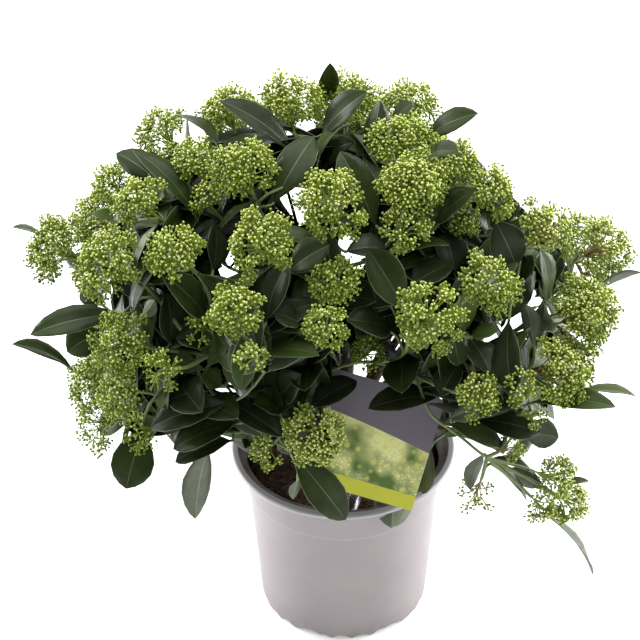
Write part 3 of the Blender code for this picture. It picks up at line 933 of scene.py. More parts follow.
def make_flowers(heads):
    buds, stalk_lines = {}, {}
    branch_lines = {"green": [], "red": []}
    for head in heads.values():
        near = [h for h in heads.values() if h is not head
                and (h["middle"] - head["middle"]).length < h["radius"] + head["radius"]]
        head_buds, branches, bud_stalks = grow_head(head, near)
        part = quarter(head["middle"])
        for foot, aim, length, tint in head_buds:
            buds.setdefault((tint, part), []).append((foot, aim, length))
        branch_lines["red" if head["name"] in RED_STALKED else "green"].extend(branches)
        stalk_lines.setdefault(part, []).extend(bud_stalks)
    pattern = bud_pattern()
    for (tint, part), group in sorted(buds.items()):
        name = f"buds_{tint}_{part}"
        feet, aims, sizes = zip(*group)
        source = source_object(name + "_points", feet, [], aim=[c for aim in aims for c in aim], size=sizes)
        settle(grown(name, source, BUDS, Bud=pattern, Body=BUD_BODY[tint], Tip=BUD_TIP_HIGHLIGHT[tint]), "blossom")
    bpy.data.objects.remove(pattern)
    for kind, material in (("green", STALK_GREEN), ("red", STALK_RED)):
        settle(tubes(f"flower_branches_{kind}", branch_lines[kind], 4, material), "blossom")
    for part, lines in sorted(stalk_lines.items()):
        settle(tubes(f"flower_stalks_{part}", lines, 3, STALK_GREEN), "blossom")


# Leaves, in millimetres

Leaf = namedtuple("Leaf", "foot tip face width arch fold wave tint")

TOP_ACROSS = (-1.0, -0.96, -0.5, -0.03, 0.03, 0.5, 0.96, 1.0)   # over the half width
UNDER_ACROSS = (0.55, 0.05, -0.05, -0.55)
ROWS = 9
END_CROWDING = 0.65           # how far the rows crowd towards a leaf's ends
LAST_ROW = 0.997              # share of its length at which its last row lies
LEAF_THICKNESS = 0.7
RIB_DEPTH = 2.4               # of the rib below, over the thickness
STALK_SHARE = 0.07            # of a leaf's length
STALK_HALF_WIDTH = 1.1
TIP_HALF_WIDTH = 0.2
TIP_LENGTH = 0.4
EDGE_RIPPLES = (1.7, 1.3)     # ripples along the two edges of a leaf
LEAF_RISE, LEAF_FALL = 0.92, 0.80   # powers that shape the outline


def leaf_outline(share):
    # Half width along a leaf, 1 at its widest: a stalk, then a blade that is widest past its middle
    widest = LEAF_RISE / (LEAF_RISE + LEAF_FALL)
    peak = widest ** LEAF_RISE * (1.0 - widest) ** LEAF_FALL
    blade = np.clip((share - STALK_SHARE) / (1.0 - STALK_SHARE), 0.0, 1.0)
    return blade ** LEAF_RISE * (1.0 - blade) ** LEAF_FALL / peak


def leaf_surface(leaves):
    # Corners of every leaf, as an array of leaf, row, place round the leaf, and coordinate
    def column(key):
        return np.array([getattr(leaf, key) for leaf in leaves], float)
    foot, tip, face = column("foot"), column("tip"), column("face")
    chord = tip - foot
    length = np.linalg.norm(chord, axis=1, keepdims=True)
    along = chord / length
    face = face - along * np.sum(face * along, axis=1, keepdims=True)
    face /= np.linalg.norm(face, axis=1, keepdims=True)
    side = np.cross(along, face)
    steps = np.linspace(0.0, 1.0, ROWS)
    share = (1.0 - END_CROWDING) * steps + END_CROWDING * (1.0 - np.cos(math.pi * steps)) / 2.0
    share[-1] = LAST_ROW
    arch = (column("arch")[:, None] * length)[:, None, :]
    curve = (4.0 * share * (1.0 - share))[None, :, None]
    spine = foot[:, None] + chord[:, None] * share[None, :, None] + face[:, None] * arch * curve
    slope = np.gradient(spine, axis=1)
    slope /= np.linalg.norm(slope, axis=2, keepdims=True)
    normal = np.cross(side[:, None], slope)
    half = column("width")[:, None] / 2.0 * leaf_outline(share)[None, :]
    half = np.maximum(half, STALK_HALF_WIDTH * MM * (1.0 - share[None, :]) ** 0.3)
    half[:, -1] = TIP_HALF_WIDTH * MM
    fold = column("fold")[:, None]
    phase = (foot[:, 0] * 900.0 + foot[:, 2] * 500.0)[:, None]
    left_ripple, right_ripple = (
        np.sin(math.tau * ripples * share[None, :] + phase * speed) * column("wave")[:, None]
        for ripples, speed in zip(EDGE_RIPPLES, (1.7, 1.0)))
    rings = []
    for under, places in ((False, TOP_ACROSS), (True, UNDER_ACROSS)):
        for place in places:
            edge = abs(place)
            lift = half * (fold * edge * (1.0 - 0.3 * edge))
            lift = lift + half * place * place * (right_ripple if place > 0 else left_ripple)
            if under:
                thickness = LEAF_THICKNESS * MM * (RIB_DEPTH if edge < 0.1 else 1.0)
                lift = lift - thickness * (1.0 - 0.5 * share[None, :])
            elif edge == 1.0:
                lift = lift - LEAF_THICKNESS * 0.4 * MM
            run = half * place * np.cos(np.arctan(fold * 0.8))
            rings.append(spine + side[:, None] * run[..., None] + normal * lift[..., None])
    return np.stack(rings, axis=2), spine[:, 0], spine[:, -1] + slope[:, -1] * TIP_LENGTH * MM


def strip_kinds():
    # The material of each strip that runs along a leaf, round it, and None where it is the leaf's tint
    rib, edge, under, under_rib = (LEAF_MATERIALS.index(m)
                                   for m in (LEAF_RIB, LEAF_EDGE, LEAF_UNDER, LEAF_UNDER_RIB))
    top = [edge, None, None, rib, None, None, edge]
    return [*top, under, under, under_rib, under, under], under


def leaf_mesh(name, leaves):
    surface, foot_pole, tip_pole = leaf_surface(leaves)
    count, rows, round_leaf, _ = surface.shape
    corners = np.concatenate([surface.reshape(count, -1, 3), foot_pole[:, None], tip_pole[:, None]], axis=1)
    strips, foot_kind = strip_kinds()
    foot_index, tip_index = rows * round_leaf, rows * round_leaf + 1
    last = (rows - 1) * round_leaf
    faces, kinds = [], []
    for place in range(round_leaf):
        following = (place + 1) % round_leaf
        for low in range(0, last, round_leaf):
            high = low + round_leaf
            faces.append((low + place, low + following, high + following, high + place))
            kinds.append(strips[place])
        faces.append((foot_index, following, place))
        kinds.append(foot_kind)
        faces.append((last + place, last + following, tip_index))
        kinds.append(strips[place])
    all_faces, all_kinds = [], []
    for index, leaf in enumerate(leaves):
        base = index * corners.shape[1]
        all_faces.extend(tuple(base + corner for corner in face) for face in faces)
        all_kinds.extend(leaf.tint if kind is None else kind for kind in kinds)
    return mesh_object(name, corners.reshape(-1, 3).tolist(), all_faces, LEAF_MATERIALS, all_kinds)


# Leaves that the photograph shows plainly: x, y of the foot and how many millimetres it lies behind
# the crown's face, the same of the tip, then width in millimetres, turn in degrees about the leaf's
# own line (0 turns its upper side to the camera, 180 its underside), arch and tint
SEEN_LEAVES = (
    # Top and upper left
    (325, 100, 35, 330, 63, 8, 17, 15, 0.05, 3),
    (295, 155, 30, 220, 101, -32, 27, 45, 0.10, 1),
    (321, 136, 10, 367, 92, -32, 26, -40, 0.08, 0),
    (363, 157, 40, 380, 100, -2, 26, 45, 0.06, 1),
    (315, 170, 30, 351, 124, -14, 24, -72, 0.16, 2),
    (273, 205, 25, 314, 136, -8, 28, -15, 0.08, 0),
    (377, 228, 22, 340, 151, -6, 28, 15, 0.06, 0),
    (394, 119, 0, 413, 103, -20, 18, -50, 0.05, 0),
    (220, 148, 20, 174, 115, 0, 26, 70, 0.12, 0),
    (161, 186, 15, 116, 153, 0, 27, 35, 0.10, 0),
    (198, 219, 14, 133, 150, -20, 23, 44, 0.10, 0),
    (116, 221, 10, 91, 215, 0, 20, 65, 0.10, 2),
    (50, 245, 25, 13, 227, -10, 11, 70, 0.06, 2),
    (183, 208, 25, 160, 237, 10, 26, -40, 0.08, 2),
    (213, 273, 25, 215, 224, 5, 26, 48, 0.06, 1),
    # Left
    (209, 322, 15, 162, 274, -22, 27, 35, 0.08, 0),
    (125, 315, 20, 30, 335, -19, 26, 35, 0.10, 0),
    (103, 330, 20, 67, 352, -2, 28, 20, 0.08, 0),
    (75, 372, 20, 12, 344, 9, 24, 62, 0.10, 0),
    (104, 306, 20, 80, 292, 8, 20, 30, 0.08, 1),
    (141, 319, 15, 155, 301, 5, 12, 160, 0.05, 3),
    (170, 345, 30, 166, 293, 18, 27, 38, 0.08, 1),
    (210, 345, 20, 176, 338, 10, 26, 48, 0.08, 1),
    (142, 426, 4, 126, 489, -26, 34, 0, 0.06, 0),
    (178, 380, 40, 202, 412, -22, 32, 10, 0.06, 1),
    (234, 402, 8, 150, 428, -14, 30, 35, 0.08, 1),
    (240, 422, 12, 173, 449, -8, 29, 38, 0.08, 0),
    (234, 440, 16, 175, 462, -2, 28, 45, 0.08, 0),
    (208, 444, 10, 195, 519, -12, 27, 147, 0.06, 0),
    (222, 388, 25, 203, 372, 20, 20, 30, 0.06, 3),
    (200, 404, 18, 238, 418, -14, 28, -30, 0.08, 0),
    (218, 398, 20, 282, 437, -6, 28, -38, 0.08, 1),
    (280, 412, 20, 254, 403, 15, 24, 55, 0.06, 2),
    # Middle
    (287, 273, 15, 330, 245, 3, 28, -35, 0.08, 0),
    (344, 252, 20, 387, 248, 12, 26, -45, 0.08, 1),
    (405, 312, 22, 367, 248, -2, 30, 22, 0.06, 0),
    (392, 308, 25, 371, 258, 8, 26, 118, 0.06, 0),
    (407, 290, 22, 452, 264, 14, 28, -42, 0.08, 1),
    (405, 252, 12, 449, 245, 0, 24, -68, 0.10, 2),
    (265, 325, 15, 288, 261, 5, 27, -38, 0.08, 1),
    (322, 278, 28, 288, 264, 20, 26, 48, 0.06, 1),
    (303, 325, 18, 273, 313, 10, 26, 48, 0.06, 1),
    (254, 351, 30, 319, 355, -5, 27, -50, 0.08, 2),
    (392, 332, 20, 347, 320, 10, 28, 38, 0.08, 1),
    (312, 361, 45, 305, 391, 0, 27, 30, 0.06, 0),
    (280, 400, 32, 300, 374, 15, 26, -30, 0.06, 1),
    (308, 410, 18, 357, 381, 12, 27, -38, 0.08, 1),
    (403, 352, 45, 402, 393, -10, 30, 15, 0.04, 0),
    (442, 396, 30, 368, 409, -2, 28, 42, 0.08, 1),
    (290, 450, 10, 346, 520, -8, 30, -8, 0.06, 0),
    (298, 480, 30, 293, 499, 30, 10, 150, 0.06, 0),
    (399, 476, 46, 391, 528, 22, 33, 165, 0.05, 2),
    (431, 445, 45, 423, 494, 30, 24, 35, 0.06, 3),
    # Upper right
    (424, 139, 15, 478, 113, 10, 22, -40, 0.08, 0),
    (423, 161, -5, 458, 151, -30, 22, -60, 0.10, 0),
    (435, 225, 5, 475, 191, -28, 25, -48, 0.08, 0),
    (503, 228, 35, 500, 196, 12, 28, 28, 0.06, 0),
    (517, 269, 25, 496, 222, -6, 30, 12, 0.08, 1),
    (455, 275, 30, 445, 232, 18, 28, 28, 0.06, 1),
    (557, 244, 15, 583, 226, 0, 20, -100, 0.05, 0),
    # Right
    (545, 305, 20, 540, 249, 4, 24, 60, 0.08, 2),
    (548, 285, 32, 562, 253, 24, 24, -42, 0.06, 1),
    (520, 285, 30, 532, 255, 14, 24, -48, 0.06, 0),
    (536, 256, 28, 494, 321, 24, 27, -30, 0.06, 0),
    (534, 347, 16, 526, 304, 4, 17, 150, 0.06, 0),
    (509, 318, 14, 513, 396, -10, 25, 30, 0.08, 1),
    (527, 330, 10, 516, 354, 0, 18, 58, 0.06, 2),
    (464, 333, 25, 463, 292, 8, 24, 52, 0.06, 3),
    (470, 338, 12, 499, 329, 4, 18, -50, 0.06, 2),
    (452, 335, 22, 458, 366, 8, 25, -42, 0.06, 0),
    (470, 338, 26, 490, 372, 8, 27, -32, 0.06, 0),
    (462, 360, 26, 441, 396, 8, 26, 38, 0.06, 1),
    (594, 292, 10, 641, 272, 0, 22, -108, 0.05, 0),
    (566, 284, 20, 588, 288, 15, 20, -112, 0.05, 0),
    (580, 391, 10, 636, 396, 2, 24, -72, 0.06, 3),
    (530, 403, 5, 616, 407, -16, 28, -52, 0.08, 2),
    (494, 382, 15, 528, 410, 0, 22, -60, 0.08, 2),
    (472, 419, 22, 541, 433, 3, 29, -32, 0.08, 1),
    (521, 432, 27, 559, 437, 20, 26, -160, 0.05, 0),
    (447, 424, 8, 504, 447, 2, 23, -42, 0.06, 3),
    (485, 453, 4, 470, 490, -2, 17, 135, 0.12, 0),
    (490, 458, 8, 534, 474, 3, 20, -68, 0.08, 1),
    (491, 463, 8, 527, 500, 5, 19, -70, 0.06, 1),
    (548, 515, 12, 593, 574, 10, 22, -79, 0.07, 0),
    (569, 485, 20, 588, 480, 15, 14, -120, 0.05, 0),
)
SEEN_HEAD_PLACES = np.array([row[:3] for row in SEEN_HEADS.values()], float)
FACE_REACH = 26.0             # pixels over which the heads about a place count for the crown's face
SEEN_WIDTH = 0.93             # how wide the leaves are built, over the width that the list gives
SEEN_FOLD = 0.30
SEEN_WAVE = 0.05


def crown_ahead(x, y):
    # How far ahead the crown's face lies at a pixel, from the flower heads about it
    off = (SEEN_HEAD_PLACES[:, 0] - x) ** 2 + (SEEN_HEAD_PLACES[:, 1] - y) ** 2
    weights = 1.0 / (off + FACE_REACH ** 2) ** 1.5
    return float(np.sum(weights * SEEN_HEAD_PLACES[:, 2]) / np.sum(weights))


def seen_leaf(row):
    x0, y0, behind0, x1, y1, behind1, width, turn, arch, tint = row
    foot = seen_at(x0, y0, crown_ahead(x0, y0) - behind0)
    tip = seen_at(x1, y1, crown_ahead(x1, y1) - behind1)
    along = (tip - foot).normalized()
    towards = (CAMERA_PLACE - (foot + tip) / 2.0).normalized()
    face = (towards - along * towards.dot(along)).normalized()
    face = Matrix.Rotation(math.radians(turn), 3, along) @ face
    return Leaf(foot, tip, face, width * SEEN_WIDTH * MM, arch, SEEN_FOLD, SEEN_WAVE, tint)


LEAF_STALK_RADII = (1.25, 1.0)
LEAF_STALK_STEPS = 6
TURN_COST = 0.9               # what a turn costs when a stalk looks for its shoot


def leaf_stalk(leaf, limbs):
    # The thin stalk that joins a leaf to the nearest shoot
    way = (leaf.tip - leaf.foot).normalized()
    best = None
    for limb in limbs:
        points = limb["points"]
        for index in range(1, len(points) - 1):
            apart = leaf.foot - points[index]
            if apart.length < 1.0 * MM:
                continue
            cost = apart.length * (1.0 + TURN_COST * (1.0 - apart.normalized().dot(way)))
            if best is None or cost < best[0]:
                best = (cost, points[index], (points[index + 1] - points[index]).normalized())
    _, start, along = best
    points = cubic(start, along, leaf.foot + way * 2.0 * MM, way, LEAF_STALK_STEPS)
    return points, in_millimetres(taper(*LEAF_STALK_RADII, len(points)))


LEAF_SPOTS = (0.3, 0.5, 0.7, 0.88)   # where along a leaf that the photograph shows room is kept
SPOT_RADIUS = 0.32            # over the leaf's width
HEAD_COVER = 0.92             # share of a head's radius that no new leaf may enter
FACE_COVER = 0.75             # the same of the room over its face
FACE_DEPTH = 50.0 * MM        # how deep that room is
HEART_MIDDLE = Vector((0.0, 0.0, 265.0)) * MM
HEART_REACH = (165.0 * MM, 150.0 * MM, 95.0 * MM)


class Room:
    # What a new leaf has to keep clear of, and the outline it has to stay in

    def __init__(self, heads, seen_leaves):
        heads = list(heads.values())
        self.middles = np.array([h["middle"] for h in heads])
        self.radii = np.array([h["radius"] for h in heads])
        self.axes = np.array([h["axis"] for h in heads])
        spots = np.array([leaf.foot.lerp(leaf.tip, share) for leaf in seen_leaves for share in LEAF_SPOTS])
        widths = np.array([leaf.width for leaf in seen_leaves for _ in LEAF_SPOTS])
        gaps = np.array(SKY_GAPS, float)
        card = np.array(CARD_SPOTS, float)
        card_depth = (seen_at(*CARD_MIDDLE, CARD_AHEAD) - CAMERA_PLACE).dot(AHEAD)
        head_x, head_y, head_depth = pixels_of(self.middles)
        spot_x, spot_y, spot_depth = pixels_of(spots)
        seen_depth = np.where([h["seen"] for h in heads], head_depth, 0.0)
        # Discs in the picture, each of which a new leaf may pass behind but not before
        self.x = np.concatenate([head_x, spot_x, gaps[:, 0], card[:, 0]])
        self.y = np.concatenate([head_y, spot_y, gaps[:, 1], card[:, 1]])
        self.depth = np.concatenate([seen_depth, spot_depth, np.full(len(gaps), np.inf),
                                     np.full(len(card), card_depth)])
        self.radius_pixels = np.concatenate([
            HEAD_COVER * self.radii * FOCAL_PIXELS / head_depth,
            SPOT_RADIUS * widths * FOCAL_PIXELS / spot_depth, gaps[:, 2] + GAP_MARGIN, card[:, 2]])
        self.masses = []
        for name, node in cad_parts.items():
            if name.startswith("mass_"):
                low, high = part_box(name)
                tree = BVHTree.FromPolygons([v.co for v in node.data.vertices],
                                            [tuple(p.vertices) for p in node.data.polygons])
                self.masses.append(((low + high) / 2.0, (high - low).length / 2.0, tree))

    def in_outline(self, place, allowance):
        for middle, reach, tree in self.masses:
            way = place - middle
            if way.length > reach + allowance:
                continue
            hit, _, _, distance = tree.ray_cast(middle, way.normalized())
            if hit is not None and way.length < distance + allowance:
                return True
        return False

    def in_heart(self, place):
        # Whether a point lies in the shaded middle, under the crown and about the boughs
        return sum((way / reach) ** 2 for way, reach in zip(place - HEART_MIDDLE, HEART_REACH)) < 1.0

    def hides_flowers(self, places):
        # True if a point lies in a head, over its face, outside the outline or before what is seen
        apart = places[:, None] - self.middles[None]
        distance = np.linalg.norm(apart, axis=2)
        if np.any(distance < HEAD_COVER * self.radii):
            return True
        above = np.sum(apart * self.axes[None], axis=2)
        aside = np.sqrt(np.maximum(distance ** 2 - above ** 2, 0.0))
        if np.any((above > 0.0) & (above < FACE_DEPTH) & (aside < FACE_COVER * self.radii)):
            return True
        x, y, depth = pixels_of(places)
        if not np.all(in_photo_outline(x, y)):
            return True
        off = np.hypot(x[:, None] - self.x, y[:, None] - self.y)
        return bool(np.any((off < self.radius_pixels) & (depth[:, None] < self.depth)))


def leaf_samples(foot, tip, face, width, arch, shares, across):
    # Places on a leaf: on its middle line at each share of its length, and beside it up to 0.9
    along = tip - foot
    side = along.cross(face).normalized() * width
    places = []
    for share in shares:
        spine = foot + along * share + face * along.length * arch * 4.0 * share * (1.0 - share)
        places.append(spine)
        if share < 0.9:
            places.extend(spine + side * place for place in across)
    return places


ROUGH_SHARES, ROUGH_ACROSS = (0.3, 0.45, 0.6, 0.75, 0.9, 1.0), (0.42, -0.42)
FINE_SHARES, FINE_ACROSS = [0.12 + 0.08 * i for i in range(12)], (-0.45, -0.23, 0.23, 0.45)
OUTER_SAMPLES = 5             # the rough samples of a leaf's last quarter
# Ranges that a leaf is drawn from; slenderness is width over length
LEAF_LENGTH = (62.0, 90.0)
LEAF_SLENDERNESS = (0.34, 0.42)
LEAF_ARCH = (0.02, 0.12)
LEAF_TWIST = (-0.45, 0.45)
LEAF_FOLD = (0.14, 0.44)
LEAF_WAVE = (0.02, 0.08)
OUTLINE_ALLOWANCE = 7.0
FOOT_OFF_AXIS = 1.5
# Whorls under a flower head: how far back from its foot, and how many leaves
WHORLS = ((2.0, 7), (24.0, 5))
WHORL_TINTS = (0, 0, 1, 1, 2, 2, 3)
WHORL_LIFT = (-8.0, 42.0)
WHORL_DEPTH = 8.0
WHORL_JITTER = 0.5
TRIES = 7                     # at each leaf of a whorl, each one shorter and lower than the last
LIMB_LEAVES = (3, 2)          # at each point of a bough and of a shoot
LIMB_TINTS = (0, 1, 1)
LIMB_LIFT = (5.0, 55.0)
LIMB_LENGTH = 0.85
LOWEST_LIMB_LEAF = 175.0


def try_leaf(foot, outward, axis, lift, length, room, rng, tint):
    # outward is square to the axis; lift is the angle by which the leaf rises from square
    angle = math.radians(lift)
    direction = around(outward, axis, angle)
    face = axis * math.cos(angle) - outward * math.sin(angle)
    tip = foot + direction * length
    width = length * rng.uniform(*LEAF_SLENDERNESS)
    arch = rng.uniform(*LEAF_ARCH)
    samples = leaf_samples(foot, tip, face, width, arch, ROUGH_SHARES, ROUGH_ACROSS)
    outer = samples[-OUTER_SAMPLES:]
    if not all(room.in_heart(p) or room.in_outline(p, OUTLINE_ALLOWANCE * MM) for p in outer):
        return None
    if room.hides_flowers(np.array(samples)):
        return None
    samples = leaf_samples(foot, tip, face, width, arch, FINE_SHARES, FINE_ACROSS)
    if np.any(in_gap(np.array(samples), GAP_MARGIN)):
        return None
    twist = Matrix.Rotation(rng.uniform(*LEAF_TWIST), 3, direction)
    return Leaf(foot, tip, twist @ face, width, arch, rng.uniform(*LEAF_FOLD), rng.uniform(*LEAF_WAVE), tint)


def grow_whorl(head, room, back, count, length_share, rng):
    # Leaves round a shoot, some way back from the flower head on its end
    axis = head["axis"]
    base = head["foot"] - axis * (back * MM)
    across = across_to(axis)
    turn = rng.uniform(0.0, math.tau)
    tint = rng.choice(WHORL_TINTS)
    leaves = []
    for index in range(count):
        for attempt in range(TRIES):
            stray = rng.uniform(-WHORL_JITTER, WHORL_JITTER) * (1 + attempt * 0.4)
            outward = around(*across, turn + index * GOLDEN_ANGLE + stray)
            foot = base - axis * rng.uniform(0.0, WHORL_DEPTH) * MM + outward * FOOT_OFF_AXIS * MM
            length = rng.uniform(*LEAF_LENGTH) * length_share * (1.0 - 0.06 * attempt) * MM
            lift = rng.uniform(*WHORL_LIFT) - attempt * 6.0
            leaf = try_leaf(foot, outward, axis, lift, length, room, rng, tint)
            if leaf:
                leaves.append(leaf)
                break
    return leaves


def front_or_back(place):
    return "front" if place.y < 0.0 else "back"


def grow_leaves(heads, boughs, limbs):
    seen_leaves = [seen_leaf(row) for row in SEEN_LEAVES]
    room = Room(heads, seen_leaves)
    leaves = {"front": list(seen_leaves), "back": []}
    stalks = [leaf_stalk(leaf, limbs) for leaf in seen_leaves]
    settle(tubes("leaf_stalks", stalks, 6, GREEN_WOOD), "green_wood")
    for head in heads.values():
        rng = random.Random("leaves " + head["name"])
        size = 0.75 + 0.25 * head["radius"] / (FULL_HEAD * MM)
        for back, count in WHORLS:
            leaves[front_or_back(head["middle"])] += grow_whorl(head, room, back, count, size, rng)
    for number, limb in enumerate(limbs):
        rng = random.Random(f"limb leaves {number}")
        points = limb["points"]
        for index in range(1, len(points) - 1):
            axis = direction_at(points, index)
            for _ in range(LIMB_LEAVES[0] if number < len(boughs) else LIMB_LEAVES[1]):
                outward = around(*across_to(axis), rng.uniform(0.0, math.tau))
                length = rng.uniform(*LEAF_LENGTH) * LIMB_LENGTH * MM
                leaf = try_leaf(points[index] + outward * FOOT_OFF_AXIS * MM, outward, axis,
                                rng.uniform(*LIMB_LIFT), length, room, rng, rng.choice(LIMB_TINTS))
                if leaf and leaf.foot.z > LOWEST_LIMB_LEAF * MM:
                    leaves[front_or_back(leaf.foot)].append(leaf)
    return leaves


# Stem and boughs, with bark in relief, in millimetres

STEM_STEPS = 44
STEM_SIDES = 28
STEM_RADIUS = 8.4
STEM_TAPER = 2.5
STEM_LEAN = (1.5, -1.0)
STEM_RELIEF = 0.55
STEM_FLUTES = 0.03            # depth of the flutes, over the radius
FLUTES = 5
FLARE_HEIGHT = 13.0
FLARE = 5.2
BOUGH_RELIEF = 0.28
BOUGH_RING_SIDES = 10
BOUGH_RING_SPACING = 2.6
BOUGH_SLIMMER = 0.97          # a bark's radius over the solid's
RIDGE_GRAIN = (420.0, 420.0, 130.0)
KNOB_GRAIN = 90.0


def ring_frames(points):
    # Two directions across a line at each of its points, carried along it without twist
    first, _ = across_to(direction_at(points, 0))
    frames = []
    for index in range(len(points)):
        tangent = direction_at(points, index)
        first = (first - tangent * first.dot(tangent)).normalized()
        frames.append((first, tangent.cross(first)))
    return frames


def bark_tube(shape, points, radii, sides, relief, flutes=0.0):
    # A closed tube whose skin is ridged along its length; radii are of the smooth tube
    rings = []
    for place, radius, across in zip(points, radii, ring_frames(points)):
        ring = []
        for side in range(sides):
            angle = math.tau * side / sides
            out = around(*across, angle)
            at = place + out * radius
            ridge = noise.noise(Vector([c * grain for c, grain in zip(at, RIDGE_GRAIN)]))
            knob = noise.noise(at * KNOB_GRAIN)
            swell = 1.0 + flutes * math.cos(FLUTES * angle)
            ring.append(shape.verts.new(place + out * (radius * swell + (ridge * 0.7 + knob * 0.6) * relief)))
        rings.append(ring)
    for below, above in zip(rings, rings[1:]):
        join_rings(shape, below, above, sides)
    join_rings(shape, [shape.verts.new(points[0])], rings[0], sides)
    join_rings(shape, rings[-1], [shape.verts.new(points[-1])], sides)


def resample(points, radii, spacing):
    # The same line with points at an even spacing
    out_points, out_radii = [points[0]], [radii[0]]
    for a, b, ra, rb in zip(points, points[1:], radii, radii[1:]):
        parts = max(1, round((b - a).length / spacing))
        for part in range(1, parts + 1):
            share = part / parts
            out_points.append(a.lerp(b, share))
            out_radii.append(ra + (rb - ra) * share)
    return out_points, out_radii


def make_wood(boughs):
    low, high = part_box("stem")
    height = (high.z - low.z) / MM
    points, radii = [], []
    for step in range(STEM_STEPS + 1):
        share = step / STEM_STEPS
        up = share * height
        flare = max(0.0, 1.0 - up / FLARE_HEIGHT) ** 2 * FLARE
        points.append(Vector((STEM_LEAN[0] * share * MM, STEM_LEAN[1] * share * MM, low.z + up * MM)))
        radii.append((STEM_RADIUS - STEM_TAPER * share + flare) * MM)
    radii[-1] *= 0.8
    shape = bmesh.new()
    bark_tube(shape, points, radii, STEM_SIDES, STEM_RELIEF * MM, STEM_FLUTES)
    settle(shape_object("stem_bark", shape, [BARK]), "bark", "stem")
    shape = bmesh.new()
    for points, radii in boughs.values():
        points, radii = resample(points, radii, BOUGH_RING_SPACING * MM)
        bark_tube(shape, points, [r * BOUGH_SLIMMER for r in radii], BOUGH_RING_SIDES, BOUGH_RELIEF * MM)
    settle(shape_object("bough_bark", shape, [BARK]), "bark", *boughs)


# Pot, turned from a profile in millimetres, with scallops and notches in its foot

POT_SIDES = 240
POT_TOP = 142.0
LIP_RADIUS = 85.3
LIP_DEPTH = 4.5
LIP_FLAT = 0.2                # how much smaller the lip's rounding is than half its depth
FOOT_EDGE_RADIUS = 60.0       # the foot's edge is what lies further out than this and lower than this
FOOT_EDGE_HEIGHT = 5.0
NOTCH_BEARINGS = [-23.0 + 60.0 * i for i in range(6)]
NOTCH_HALF_ANGLE = 8.4
NOTCH_HEIGHT = 4.5
SCALLOPS = 26
SCALLOP_HEIGHT = 4.0
DIRT_COLOUR = (0.20, 0.16, 0.13)
DIRT_HEIGHT = 22.0


def pot_material(name, colour_a, colour_b, dirty):
    # Matt moulded plastic, a little soiled near the ground
    material, shader = new_material(name)
    tree = material.node_tree
    clean = mingled(material, colour_a, colour_b, 26.0, 0.30, 0.70)
    soiled = mingled(material, colour_a, DIRT_COLOUR, 120.0, 0.50, 0.72)
    place = add_node(tree, "ShaderNodeTexCoord")
    parts = add_node(tree, "ShaderNodeSeparateXYZ", {"Vector": place.outputs["Object"]})
    colour = mixed(tree, ranged(tree, parts.outputs["Z"], DIRT_HEIGHT * MM, 0.0, dirty), clean, soiled)
    return finish_surface(material, shader, colour, (0.38, 0.50), 0.06, 300.0, (1, 1, 2))


def arc(middle, radius, first, last, steps):
    points = []
    for step in range(steps + 1):
        angle = math.radians(first + (last - first) * step / steps)
        points.append((middle[0] + radius * math.cos(angle), middle[1] + radius * math.sin(angle)))
    return points


def straight(start, end, steps):
    return list(zip(taper(start[0], end[0], steps + 1), taper(start[1], end[1], steps + 1)))


def pot_profile():
    # From the middle of the floor's upper side, up the inside, over the lip and down to the foot,
    # with the number of each point's material: 0 for the wall, 1 for the lip, a lighter grey that paints
    # light on it, and 2 for the darker inside
    lip_round = LIP_DEPTH / 2.0 - LIP_FLAT
    lip_mid = POT_TOP - LIP_DEPTH / 2.0
    lip_low = POT_TOP - LIP_DEPTH
    inside = [(0.0, 2.0), (30.0, 2.0), (44.0, 2.0), (48.0, 5.0), *straight((62.6, 5.0), (71.6, 109.0), 6),
              (73.6, 122.0), (74.0, 137.0), (76.4, 140.6), (78.5, POT_TOP - 0.25)]
    lip = [(80.5, POT_TOP), *arc((LIP_RADIUS - lip_round, lip_mid + LIP_FLAT), lip_round, 80.0, -75.0, 9),
           (LIP_RADIUS - 3.4, lip_low + 0.9), (LIP_RADIUS - 4.0, lip_low + 0.5), (77.0, lip_low - 0.1),
           (75.6, lip_low - 1.2)]
    wall = [(75.3, 132.0), (74.7, 122.0), (74.2, 112.0), (74.05, 109.9), (73.75, 109.4), (73.3, 109.0),
            (72.95, 108.4), *straight((72.9, 107.0), (65.5, 6.0), 12)]
    foot = [(65.3, 3.5), (65.0, 1.5), (64.8, 0.5), (64.3, 0.0), (61.6, 0.0), (61.0, 0.6), (60.8, 3.0),
            (49.0, 3.0), (46.5, 0.4), (45.5, 0.0), (0.0, 0.0)]
    return inside + lip + wall + foot, [2] * len(inside) + [1] * len(lip) + [0] * (len(wall) + len(foot))


def foot_lift(angle):
    # How high the foot's edge stands at an angle: scallops, and an arch at each drain notch
    bearing = math.degrees(math.atan2(math.cos(angle), -math.sin(angle)))
    uneven = 0.65 + 0.5 * math.sin(7.0 * angle) * math.sin(3.0 * angle + 1.0)
    lift = SCALLOP_HEIGHT * uneven * (0.5 - 0.5 * math.cos(SCALLOPS * angle)) ** 0.55
    for notch in NOTCH_BEARINGS:
        off = abs((bearing - notch + 180.0) % 360.0 - 180.0)
        if off < NOTCH_HALF_ANGLE:
            lift = max(lift, NOTCH_HEIGHT * math.sqrt(1.0 - (off / NOTCH_HALF_ANGLE) ** 2))
    return lift


def turned_object(name, profile, sides, materials, kinds, shift):
    shape = turned(profile, sides, kinds, shift)
    bmesh.ops.recalc_face_normals(shape, faces=shape.faces)
    return shape_object(name, shape, materials)


def uneven_foot(angle, radius, height):
    if height < FOOT_EDGE_HEIGHT and radius > FOOT_EDGE_RADIUS:
        height = max(height, foot_lift(angle))
    return radius, height


